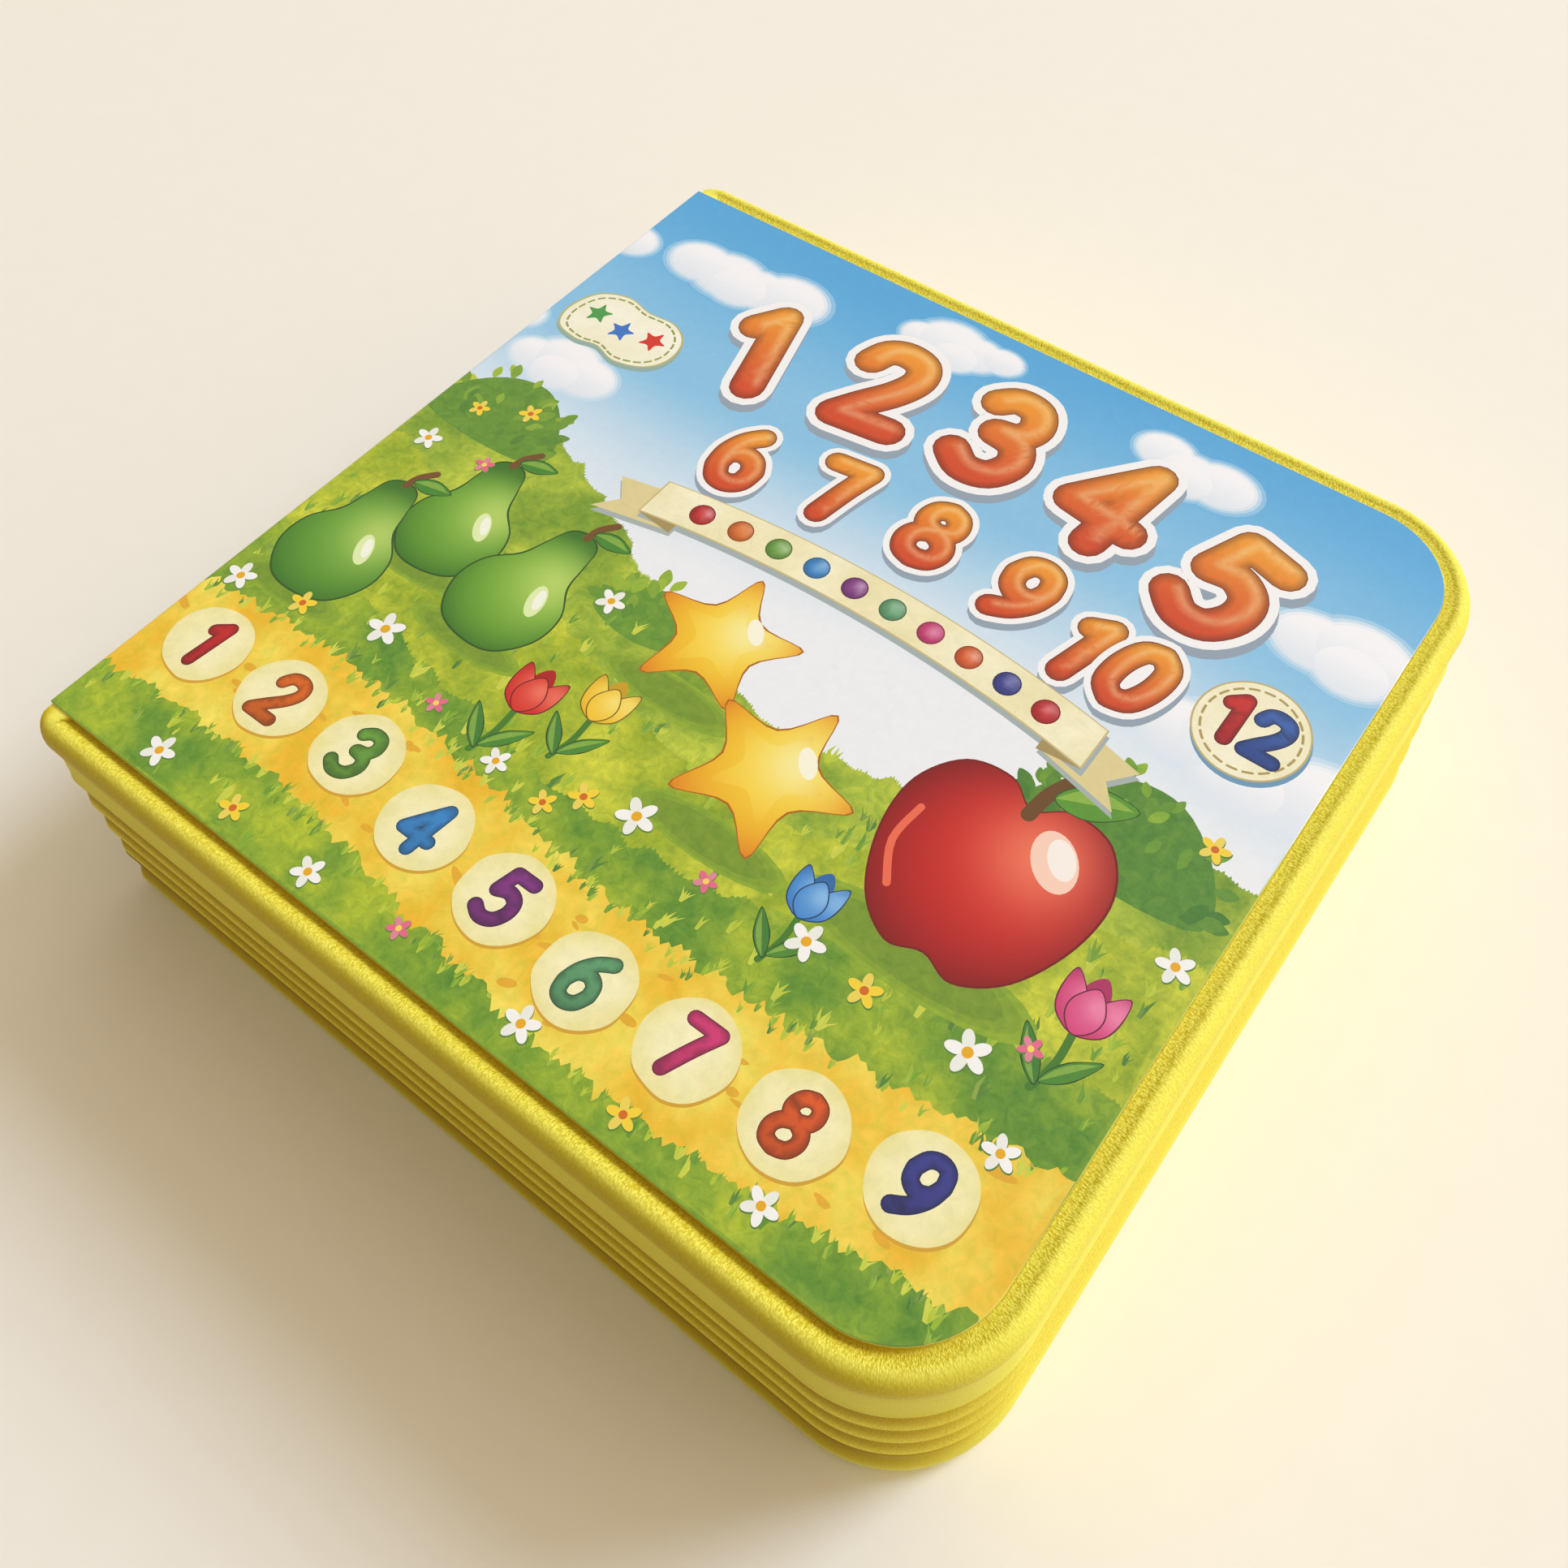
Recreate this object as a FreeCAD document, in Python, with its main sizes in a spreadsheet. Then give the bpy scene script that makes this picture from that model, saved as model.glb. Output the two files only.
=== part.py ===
import FreeCAD, Part
import math
import os

import Sketcher

# A closed foam board book lying on its back cover, front cover up.
# Frame: X runs from the spine to the fore edge, Y from the tail edge to the head edge, Z upwards.
# The origin is the middle of the underside. Each piece is drawn with its spine end at X 0 and its
# tail edge at Y 0, then laid in place. Everything is in millimetres.
SIZES = (
    # plan of every board and leaf
    ("board_width", 160),
    ("board_height", 156),
    ("fore_corner_radius", 19.5),
    ("spine_corner_radius", 3.5),
    # layers from the table up
    ("back_thickness", 11.5),
    ("leaf_thickness", 7),
    ("leaf_count", 3),
    ("front_thickness", 13.5),
    # rolled rim of the cover boards
    ("rim_width", 4.5),
    ("roll_radius", 3),
    ("crease_width", 0.4),
    ("wall_inset", 0.4),
    ("inner_edge_radius", 0.6),
    # edges of the leaves: round above, cut sharp below
    ("leaf_inset", 0.2),
    ("leaf_upper_radius", 2.2),
    # printed sheets and how deep they are pressed into the foam
    ("sheet_thickness", 0.4),
    ("press_depth", 0.3),
    ("fold_radius", 0.3),
)

doc = FreeCAD.newDocument("board_book")
sheet = doc.addObject("Spreadsheet::Sheet", "Sizes")
for row, (alias, value) in enumerate(SIZES, 1):
    sheet.set(f"A{row}", alias)
    sheet.set(f"B{row}", str(value))
    sheet.setAlias(f"B{row}", alias)
doc.recompute()


class Size:
    """A length that keeps its number together with the expression it comes from."""

    def __init__(self, text, number):
        self.text = text
        self.number = number

    def _join(self, sign, other, number):
        return Size(f"({self.text} {sign} {other.text})", number)

    def __add__(self, other):
        return self._join("+", other, self.number + other.number)

    def __sub__(self, other):
        return self._join("-", other, self.number - other.number)

    def __mul__(self, other):
        return self._join("*", other, self.number * other.number)

    def __truediv__(self, other):
        return self._join("/", other, self.number / other.number)

    def root(self):
        return Size(f"sqrt({self.text})", math.sqrt(self.number))


def size(alias):
    return Size(f"Sizes.{alias}", float(sheet.get(alias)))


ZERO = Size("0", 0.0)
ONE = Size("1", 1.0)
TWO = Size("2", 2.0)

width = size("board_width")
height = size("board_height")
fore_radius = size("fore_corner_radius")
spine_radius = size("spine_corner_radius")
back = size("back_thickness")
leaf = size("leaf_thickness")
leaves = size("leaf_count")
front = size("front_thickness")
rim = size("rim_width")
roll = size("roll_radius")
crease = size("crease_width")
wall_inset = size("wall_inset")
inner_edge = size("inner_edge_radius")
leaf_inset = size("leaf_inset")
leaf_upper = size("leaf_upper_radius")
paper = size("sheet_thickness")
press = size("press_depth")
fold = size("fold_radius")
# the swept rim reaches halfway between the print edge and the corner centres
band = (rim + fore_radius) / TWO


def vector(point):
    return FreeCAD.Vector(point[0].number, point[1].number, 0)


def arc_between(start, end, radius, clockwise):
    """The short arc from start to end; returns it with its own start and end vertex numbers."""
    chord = end - start
    side = FreeCAD.Vector(-chord.y, chord.x, 0).normalize()
    if clockwise:
        side = side.negative()
    rise = radius - math.sqrt(max(radius**2 - (chord.Length / 2) ** 2, 0))
    middle = (start + end) * 0.5 - side * rise
    return Part.Arc(start, middle, end), (2, 1) if clockwise else (1, 2)


def pin(sketch, geometry, vertex, point):
    """Hold one vertex at (x, y) measured from the sketch origin."""
    for kind, axis, length in (("DistanceX", -2, point[0]), ("DistanceY", -1, point[1])):
        if length is ZERO:
            sketch.addConstraint(Sketcher.Constraint("PointOnObject", geometry, vertex, axis))
            continue
        if length.number < 0:
            rule = Sketcher.Constraint(kind, geometry, vertex, -1, 1, -length.number)
            text = f"-1 * {length.text}"
        else:
            rule = Sketcher.Constraint(kind, -1, 1, geometry, vertex, length.number)
            text = length.text
        number = sketch.addConstraint(rule)
        sketch.setExpression(f"Constraints[{number}]", text)


def trace(sketch, steps, closed=True):
    """Draw a chain of lines and arcs.

    A step is (x, y) for a line to the next step, or (x, y, radius, clockwise) for an arc to it.
    """
    ends = []
    count = len(steps) if closed else len(steps) - 1
    for index in range(count):
        step = steps[index]
        start = vector(step)
        end = vector(steps[(index + 1) % len(steps)])
        if len(step) == 4:
            shape, vertices = arc_between(start, end, step[2].number, step[3])
        else:
            shape, vertices = Part.LineSegment(start, end), (1, 2)
        geometry = sketch.addGeometry(shape, False)
        ends.append((geometry, vertices))
        if len(step) == 4:
            number = sketch.addConstraint(Sketcher.Constraint("Radius", geometry, step[2].number))
            sketch.setExpression(f"Constraints[{number}]", step[2].text)
        pin(sketch, geometry, vertices[0], step)
    if not closed:
        pin(sketch, ends[-1][0], ends[-1][1][1], steps[-1])
    for index in range(count if closed else count - 1):
        (this, these), (following, those) = ends[index], ends[(index + 1) % count]
        sketch.addConstraint(Sketcher.Constraint("Coincident", this, these[1], following, those[0]))


def new_body(label):
    body = doc.addObject("PartDesign::Body", label)
    body.Label = label
    return body


def new_sketch(body, name, role, steps, closed=True, lift=ZERO):
    sketch = body.newObject("Sketcher::SketchObject", f"{body.Name}_{name}")
    plane = [item for item in body.Origin.OriginFeatures if item.Role == role][0]
    sketch.AttachmentSupport = [(plane, "")]
    sketch.MapMode = "FlatFace"
    if lift is not ZERO:
        sketch.setExpression("AttachmentOffset.Base.z", lift.text)
    trace(sketch, steps, closed)
    return sketch


def pad(body, name, sketch, length):
    feature = body.newObject("PartDesign::Pad", f"{body.Name}_{name}")
    feature.Profile = sketch
    feature.setExpression("Length", length.text)
    sketch.Visibility = False
    return feature


def board_plan(inset, radius, spine=ZERO):
    """Plan of a board, square at the spine and rounded at the fore edge."""
    return (
        (spine, inset),
        (width - inset - radius, inset, radius, False),
        (width - inset, inset + radius),
        (width - inset, height - inset - radius, radius, False),
        (width - inset - radius, height - inset),
        (spine, height - inset),
    )


def swept_rim(body, section):
    """Sweep an edge section along the tail, fore and head edges."""
    path = new_sketch(body, "rim_path", "XY_Plane", board_plan(ZERO, fore_radius), closed=False)
    profile = new_sketch(body, "rim_section", "YZ_Plane", section)
    pipe = body.newObject("PartDesign::AdditivePipe", f"{body.Name}_rim")
    pipe.Profile = profile
    pipe.Spine = (path, [f"Edge{number}" for number in range(1, 6)])
    path.Visibility = False
    profile.Visibility = False
    return pipe


def round_spine_corners(body, depth):
    """Trim the two spine corners of a board to a small radius."""
    tail = (
        (ZERO, ZERO),
        (spine_radius, ZERO, spine_radius, True),
        (ZERO, spine_radius),
    )
    head = (
        (ZERO, height),
        (ZERO, height - spine_radius, spine_radius, True),
        (spine_radius, height),
    )
    for name, steps in (("tail_corner", tail), ("head_corner", head)):
        sketch = new_sketch(body, name, "XY_Plane", steps)
        cut = body.newObject("PartDesign::Pocket", f"{body.Name}_{name}_cut")
        cut.Profile = sketch
        cut.Reversed = True
        cut.setExpression("Length", depth.text)
        sketch.Visibility = False


def foam_board(label, thickness):
    """Cover board: inner face at Z 0, rolled rim above, beds for a sheet on both faces."""
    body = new_body(label)
    bed = thickness - press
    run = rim - crease - roll
    inner_radius = (run * run + press * press) / (TWO * press)
    tuck = (roll * roll - (roll - wall_inset) * (roll - wall_inset)).root()
    section = (
        (wall_inset + inner_edge, ZERO),
        (rim, ZERO),
        (rim, paper),
        (band, paper),
        (band, bed),
        (rim - crease, bed, inner_radius, False),
        (roll, thickness, roll, False),
        (wall_inset, thickness - roll - tuck),
        (wall_inset, inner_edge, inner_edge, False),
    )
    swept_rim(body, section)
    core = new_sketch(body, "core", "XY_Plane", board_plan(band, fore_radius - band), lift=paper)
    pad(body, "core_pad", core, bed - paper)
    round_spine_corners(body, thickness)
    return body


def edges_at(shape, x, z):
    """Names of the edges that run along Y at the given X and Z."""
    names = []
    for number, edge in enumerate(shape.Edges, 1):
        if all(abs(v.X - x) < 1e-6 and abs(v.Z - z) < 1e-6 for v in edge.Vertexes):
            names.append(f"Edge{number}")
    return names


def cover_sheet(label, thickness):
    """Printed sheet on a cover board, folded over the spine end down to the hinge line."""
    body = new_body(label)
    outside = ZERO - paper
    bed = thickness - press
    face_plan = board_plan(rim, fore_radius - rim, outside)
    face = new_sketch(body, "face", "XY_Plane", face_plan, lift=bed)
    pad(body, "face_pad", face, paper)
    flap_plan = (
        (outside, rim),
        (ZERO, rim),
        (ZERO, height - rim),
        (outside, height - rim),
    )
    flap = new_sketch(body, "flap", "XY_Plane", flap_plan)
    folded = pad(body, "flap_pad", flap, bed + paper)
    doc.recompute()
    bend = body.newObject("PartDesign::Fillet", f"{body.Name}_fold")
    bend.Base = (folded, edges_at(folded.Shape, outside.number, (bed + paper).number))
    bend.setExpression("Radius", fold.text)
    return body


def lining_sheet(label):
    """Printed sheet let into the inner face of a cover board."""
    body = new_body(label)
    face = new_sketch(body, "face", "XY_Plane", board_plan(rim, fore_radius - rim))
    pad(body, "face_pad", face, paper)
    return body


spine_x = (paper - width) / TWO
tail_y = ZERO - height / TWO
head_y = height / TWO
back_hinge_z = paper - press + back
front_hinge_z = back_hinge_z + leaf * leaves


def lay(body, y, z):
    """Put a piece in the book's own frame."""
    for axis, length in (("x", spine_x), ("y", y), ("z", z)):
        body.setExpression(f"Placement.Base.{axis}", length.text)


def turn_over(body):
    """Lay a piece made for the front board under the leaves, outer face down."""
    body.Placement = FreeCAD.Placement(FreeCAD.Vector(), FreeCAD.Rotation(FreeCAD.Vector(1, 0, 0), 180))
    lay(body, head_y, back_hinge_z)


# Front cover: foam board, printed sheet outside, lining inside.
front_foam = foam_board("front_cover_foam", front)
front_print = cover_sheet("front_cover_print", front)
front_lining = lining_sheet("front_cover_lining")
for piece in (front_foam, front_print, front_lining):
    lay(piece, tail_y, front_hinge_z)

# Back cover: the same three pieces, thinner, turned over.
back_foam = foam_board("back_cover_foam", back)
back_print = cover_sheet("back_cover_print", back)
back_lining = lining_sheet("back_cover_lining")
for piece in (back_foam, back_print, back_lining):
    turn_over(piece)

# Page block: one leaf section swept round the open sides and repeated upwards.
block = new_body("page_block")
leaf_section = (
    (leaf_inset, ZERO),
    (band, ZERO),
    (band, leaf),
    (leaf_inset + leaf_upper, leaf, leaf_upper, False),
    (leaf_inset, leaf - leaf_upper),
)
leaf_rim = swept_rim(block, leaf_section)
leaf_core_plan = new_sketch(block, "core", "XY_Plane", board_plan(band, fore_radius - band))
leaf_core = pad(block, "core_pad", leaf_core_plan, leaf)
stack = block.newObject("PartDesign::LinearPattern", "page_block_stack")
stack.Originals = [leaf_rim, leaf_core]
vertical = [item for item in block.Origin.OriginFeatures if item.Role == "Z_Axis"][0]
stack.Direction = (vertical, [""])
stack.setExpression("Length", (leaf * (leaves - ONE)).text)
stack.setExpression("Occurrences", leaves.text)
block.Tip = stack
round_spine_corners(block, leaf * leaves)
lay(block, tail_y, back_hinge_z)

# Spine strip: the part of the cover sheet between the two hinge lines.
spine = new_body("spine_print")
strip_plan = (
    (ZERO - paper, rim),
    (ZERO, rim),
    (ZERO, height - rim),
    (ZERO - paper, height - rim),
)
strip = new_sketch(spine, "strip", "XY_Plane", strip_plan)
pad(spine, "strip_pad", strip, leaf * leaves)
lay(spine, tail_y, back_hinge_z)

doc.recompute()

PIECES = (
    front_foam,
    front_print,
    front_lining,
    block,
    spine,
    back_foam,
    back_print,
    back_lining,
)
for item in doc.Objects:
    faults = [state for state in item.State if state in ("Invalid", "Error")]
    if faults:
        raise RuntimeError(f"{item.Name}: {faults}")
os.makedirs("parts", exist_ok=True)
for piece in PIECES:
    if piece.Shape.isNull() or not piece.Shape.isValid() or len(piece.Shape.Solids) != 1:
        raise RuntimeError(f"{piece.Label} is not one sound solid")
    piece.Shape.exportStep(f"parts/{piece.Label}.step")
    print(piece.Label, round(piece.Shape.Volume / 1000, 1), "cm3", piece.Shape.BoundBox)
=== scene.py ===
# %% [markdown]
# # A foam board book
#
# A chunky counting book for one-year-olds lies closed on a pale table. Its covers are thick boards
# of yellow foam with a rolled, leathery rim. Three thinner foam leaves lie between them. One printed
# sheet wraps the whole book: front cover, spine and back cover.
#
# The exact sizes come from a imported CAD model, which is loaded first. It fixes where every piece
# sits and how the covers turn. The cells after it dress that frame with finer shapes and finishes.

# %% Load the frame
import math
import random

import bpy
import numpy as np
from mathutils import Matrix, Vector, noise
from mathutils.geometry import delaunay_2d_cdt


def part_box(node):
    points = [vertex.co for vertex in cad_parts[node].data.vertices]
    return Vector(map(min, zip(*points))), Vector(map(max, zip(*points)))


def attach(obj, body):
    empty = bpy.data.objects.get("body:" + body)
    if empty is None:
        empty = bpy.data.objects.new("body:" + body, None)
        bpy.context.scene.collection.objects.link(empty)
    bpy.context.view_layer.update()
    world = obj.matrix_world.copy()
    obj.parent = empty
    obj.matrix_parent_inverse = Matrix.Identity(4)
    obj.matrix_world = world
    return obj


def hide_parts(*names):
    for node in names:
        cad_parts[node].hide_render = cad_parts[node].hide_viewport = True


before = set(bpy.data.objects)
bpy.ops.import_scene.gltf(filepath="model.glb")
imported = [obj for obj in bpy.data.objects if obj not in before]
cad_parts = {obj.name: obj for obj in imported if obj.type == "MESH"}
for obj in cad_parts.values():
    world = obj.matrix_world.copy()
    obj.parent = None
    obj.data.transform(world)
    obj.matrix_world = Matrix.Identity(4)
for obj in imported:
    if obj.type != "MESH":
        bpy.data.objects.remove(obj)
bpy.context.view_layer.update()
MM = 0.001
print("pieces in the frame:", ", ".join(sorted(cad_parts)))

# %% [markdown]
# ## Real sizes
#
# A maker would note the book's sizes once and refer to them everywhere. The outer box of each piece
# is read from the frame, so the pictures and foam always fit the boards. Sizes that a box cannot
# give, such as the width of the rim, are written here in millimetres.


# %% Read the sizes
def box_mm(node):
    low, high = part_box(node)
    return [value / MM for value in low], [value / MM for value in high]


cover_low, cover_high = box_mm("front_cover_foam")
back_low, back_high = box_mm("back_cover_foam")
block_low, block_high = box_mm("page_block")
print_low, print_high = box_mm("front_cover_print")

SPINE_X = cover_low[0]
FORE_X = cover_high[0]
TAIL_Y = cover_low[1]
HEAD_Y = cover_high[1]
WIDTH = FORE_X - SPINE_X
HEIGHT = HEAD_Y - TAIL_Y
FRONT_Z = cover_low[2]
FRONT_TOP = cover_high[2]
BACK_Z = back_high[2]
BACK_BOTTOM = back_low[2]
LEAVES = 3
LEAF = (block_high[2] - block_low[2]) / LEAVES
FORE_RADIUS = 19.5
SPINE_RADIUS = 3.5
RIM = 4.5
PAPER = 0.4
print(f"board {WIDTH:.1f} x {HEIGHT:.1f} mm, leaf {LEAF:.1f} mm")
print(f"front board {FRONT_TOP - FRONT_Z:.1f} mm, back board {BACK_Z - BACK_BOTTOM:.1f} mm")

# %% [markdown]
# ## The camera
#
# The photograph looks down on the book from near its tail and fore corner. A camera solve on the
# straight edges of the book gave the place, the turn and the focal length below. The photograph was
# cropped from a larger picture, so the lens is shifted a little: without the shift the walls of the
# book would lean the wrong way.

# %% Set up the camera
CAMERA_PLACE = (92.84, -108.49, 234.28)
CAMERA_RIGHT = (0.80081, 0.598693, -0.016409)
CAMERA_UP = (-0.454504, 0.625329, 0.634342)
CAMERA_BACK = (0.390037, -0.50053, 0.772879)


def add_object(name, data):
    """Puts a new object into the scene."""
    thing = bpy.data.objects.new(name, data)
    bpy.context.scene.collection.objects.link(thing)
    return thing


camera_data = bpy.data.cameras.new("camera")
camera = add_object("camera", camera_data)
matrix = camera.matrix_world
for column, axis in enumerate((CAMERA_RIGHT, CAMERA_UP, CAMERA_BACK)):
    for row in range(3):
        matrix[row][column] = axis[row]
for row in range(3):
    matrix[row][3] = CAMERA_PLACE[row] * MM
camera.matrix_world = matrix
camera_data.sensor_fit = "HORIZONTAL"
camera_data.sensor_width = 36
camera_data.lens = 36.32
camera_data.shift_x = -0.0334
camera_data.shift_y = -0.1357
camera_data.clip_start = 0.005
bpy.context.scene.camera = camera
print("camera stands", round(CAMERA_PLACE[2]), "mm above the table")

# %% [markdown]
# ## Light and table
#
# One large soft lamp stands behind the fore corner. It was placed by measuring how far the shadow
# reaches on the table: 44 mm beyond the tail edge and 28 mm beyond the spine, for a book 46 mm tall.
# A warm room fills the shadow. It is brighter on the lamp's side, like a room with a window, so the
# shaded walls grow darker towards the table. Together they light a level white surface to just under
# white, so a colour renders about as it is written.


# %% Lights
def srgb(red, green, blue):
    """A colour picked on screen, 0 to 255, as the linear light values that Blender wants."""
    values = []
    for channel in (red, green, blue):
        share = channel / 255
        values.append(share / 12.92 if share <= 0.04045 else ((share + 0.055) / 1.055) ** 2.4)
    return tuple(values)


def feed(tree, node, socket, value):
    """Sets a node's input, or joins it to another node when value is one."""
    if isinstance(value, bpy.types.Node):
        value = value.outputs[0]
    if isinstance(value, bpy.types.NodeSocket):
        tree.links.new(value, node.inputs[socket])
    else:
        node.inputs[socket].default_value = value


def make(tree, kind, inputs=None, **options):
    """A new node. Inputs says what goes into each socket; options are the node's own settings."""
    node = tree.nodes.new("ShaderNode" + kind)
    for option, value in options.items():
        setattr(node, option, value)
    for socket, value in (inputs or {}).items():
        feed(tree, node, socket, value)
    return node


def calculate(tree, operation, *values):
    return make(tree, "Math", dict(enumerate(values)), operation=operation)


def seen_directly(tree):
    """1 for the rays that show the backdrop: the camera's own, mirrored ones and ones through glass."""
    path = make(tree, "LightPath")
    either = calculate(tree, "MAXIMUM", path.outputs["Is Camera Ray"], path.outputs["Is Glossy Ray"])
    return calculate(tree, "MAXIMUM", either, path.outputs["Is Transmission Ray"])


LAMP_DIRECTION = Vector((0.61, 0.957, 1.0)).normalized()
LAMP_DISTANCE = 5.0
LAMP_WIDTH = 1.88
LAMP_POWER = 164
LAMP_COLOUR = (0.62, 0.75, 1.0)
ROOM_SIDE = tuple(Vector((0.43, 0.57, 0.70)).normalized())
ROOM_STEEPNESS = 3.4
ROOM_LEVEL = 2.8
ROOM_COLOUR = (0.545, 0.465, 0.365, 1)
BACKDROP = (*srgb(250, 246, 234), 1)

lamp_data = bpy.data.lights.new("soft_window", "AREA")
lamp_data.shape = "DISK"
lamp_data.size = LAMP_WIDTH
lamp_data.energy = LAMP_POWER
lamp_data.color = LAMP_COLOUR
lamp = add_object("soft_window", lamp_data)
lamp.location = LAMP_DIRECTION * LAMP_DISTANCE
lamp.rotation_euler = LAMP_DIRECTION.to_track_quat("Z", "Y").to_euler()

world = bpy.data.worlds.new("warm_room")
bpy.context.scene.world = world
world.use_nodes = True
tree = world.node_tree
tree.nodes.clear()
toward = make(tree, "TexCoord")
facing = make(tree, "VectorMath", {0: toward.outputs["Generated"], 1: ROOM_SIDE}, operation="DOT_PRODUCT")
side = make(tree, "MapRange", {"Value": facing.outputs["Value"], "From Min": -1.0, "From Max": 1.0})
level = calculate(tree, "MULTIPLY", calculate(tree, "POWER", side, ROOM_STEEPNESS), ROOM_LEVEL)
room = make(tree, "Background", {"Color": ROOM_COLOUR, "Strength": level})
seen = make(tree, "Background", {"Color": BACKDROP})
choose = make(tree, "MixShader", {0: seen_directly(tree), 1: room, 2: seen})
make(tree, "OutputWorld", {"Surface": choose})
bpy.context.scene.view_settings.view_transform = "Standard"
print("lamp at", [round(value, 2) for value in lamp.location], "m")

# %% [markdown]
# The table is a wide, smooth sheet of card. Its shadow side goes warm brown because the room light
# around it is warm. Far from the book the card fades into the same pale colour as the backdrop, so a
# low view has no hard horizon.

# %% Table
def material(name, finish):
    """A new material; finish lists what goes into its main shader."""
    new = bpy.data.materials.new(name)
    new.use_nodes = True
    tree = new.node_tree
    shader = tree.nodes["Principled BSDF"]
    for socket, value in finish(tree).items():
        feed(tree, shader, socket, value)
    return new


TABLE_HALF = 3.0
FADE_FROM, FADE_TO = 0.4, 1.1


def card(tree):
    fibres = make(tree, "TexNoise", {"Scale": 900, "Detail": 3})
    pale, paler = (*srgb(249, 244, 230), 1), (*srgb(252, 247, 234), 1)
    return {
        "Base Color": make(tree, "MixRGB", {0: fibres, 1: pale, 2: paler}), "Roughness": 0.9,
        "Specular IOR Level": 0.15,
    }


table_finish = material("pale_table_card", card)
tree = table_finish.node_tree
place = make(tree, "NewGeometry")
reach = make(tree, "VectorMath", {0: place.outputs["Position"]}, operation="LENGTH")
far = make(
    tree, "MapRange", {"Value": reach.outputs["Value"], "From Min": FADE_FROM, "From Max": FADE_TO},
    interpolation_type="SMOOTHSTEP",
)
share = calculate(tree, "MULTIPLY", far, seen_directly(tree))
glow = make(tree, "Emission", {"Color": BACKDROP})
blend = make(tree, "MixShader", {0: share, 1: tree.nodes["Principled BSDF"], 2: glow})
feed(tree, tree.nodes["Material Output"], "Surface", blend)
mesh = bpy.data.meshes.new("table")
square = ((-1, -1), (1, -1), (1, 1), (-1, 1))
mesh.from_pydata([(x * TABLE_HALF, y * TABLE_HALF, 0) for x, y in square], [], [(0, 1, 2, 3)])
table = add_object("table", mesh)
mesh.materials.append(table_finish)
print("table is", 2 * TABLE_HALF, "m wide")

# %% [markdown]
# ## The outline of a board
#
# Each board is die-cut from a foam sheet: two large round corners on the open side, two nearly
# square ones at the spine. Every foam piece of the book follows this outline, so one helper walks
# round it. It can pull each point inwards by its own amount. That lets a cross-section be swept
# round the whole board, even round the tight spine corners.

# %% Walk round the board
CORNERS = (
    (SPINE_X, TAIL_Y, SPINE_RADIUS, 180, 8),
    (FORE_X, TAIL_Y, FORE_RADIUS, 270, 40),
    (FORE_X, HEAD_Y, FORE_RADIUS, 0, 40),
    (SPINE_X, HEAD_Y, SPINE_RADIUS, 90, 8),
)
SIDE_STEPS = 150


def board_columns():
    """One entry per column round the board: which corner or side it is on, and how far along."""
    columns = []
    for index, (x, y, radius, start, steps) in enumerate(CORNERS):
        for step in range(steps + 1):
            columns.append(("corner", index, step / steps))
        for step in range(1, SIDE_STEPS):
            columns.append(("side", index, step / SIDE_STEPS))
    return columns


COLUMNS = board_columns()


def corner_point(index, share, inset):
    """A point on a corner's arc, with the whole outline pulled in by inset."""
    x, y, radius, start, _ = CORNERS[index]
    radius = max(radius - inset, 0.06)
    side_x = 1 if x > 0 else -1
    side_y = 1 if y > 0 else -1
    centre_x = x - side_x * (inset + radius)
    centre_y = y - side_y * (inset + radius)
    angle = math.radians(start + 90 * share)
    return centre_x + radius * math.cos(angle), centre_y + radius * math.sin(angle)


def board_point(column, inset):
    kind, index, share = column
    if kind == "corner":
        return corner_point(index, share, inset)
    ax, ay = corner_point(index, 1, inset)
    bx, by = corner_point((index + 1) % 4, 0, inset)
    return ax + (bx - ax) * share, ay + (by - ay) * share


def smooth(share):
    return share * share * (3 - 2 * share)


def rim_share(column):
    """1 where the board has its rolled rim, 0 along the spine, and smooth round the spine corners."""
    kind, index, share = column
    if kind == "side":
        return 0.0 if index == 3 else 1.0
    if index == 0:
        return smooth(share)
    if index == 3:
        return smooth(1 - share)
    return 1.0


def crease_share(column):
    """How deep the groove beside the print is and how strong the painted shade is: all of it along the
    tail, which faces away from the lamp, less along the other sides.
    """
    kind, index, share = column
    if index == 0:
        return 1.0
    if kind == "corner" and index == 1:
        return 1.0 - 0.8 * smooth(share)
    return 0.2


outer = [board_point(column, 0) for column in COLUMNS]
along = [0.0]
for (ax, ay), (bx, by) in zip(outer, outer[1:] + outer[:1]):
    along.append(along[-1] + math.hypot(bx - ax, by - ay))
print(len(COLUMNS), "columns round the board,", round(along[-1]), "mm")

# %% [markdown]
# ## The roll of a cover
#
# On the real book the rim of each cover is pressed into a fat roll. From the picture it rises out of
# a narrow crease beside the print, crests, swings round and tucks in again above a plain foam wall.
# The cut at the bottom stays crisp. The section below lists points as (distance in from the edge,
# depth below the crest). A Catmull-Rom curve through them gives the soft bends, and the sweep
# carries the curve round the board. The roll swells and thins a little, as soft foam does.

# %% Sweep a foam board
def smooth_path(points, steps):
    """A Catmull-Rom curve through the points; steps gives the pieces of each span."""
    path = []
    padded = [points[0]] + list(points) + [points[-1]]
    for index, count in enumerate(steps):
        p0, p1, p2, p3 = (np.array(padded[index + k], float) for k in range(4))
        for step in range(count):
            t = step / count
            path.append(
                0.5 * (2 * p1 + (p2 - p0) * t + (2 * p0 - 5 * p1 + 4 * p2 - p3) * t**2
                       + (3 * p1 - p0 - 3 * p2 + p3) * t**3)
            )
    path.append(np.array(points[-1], float))
    return path


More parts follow.
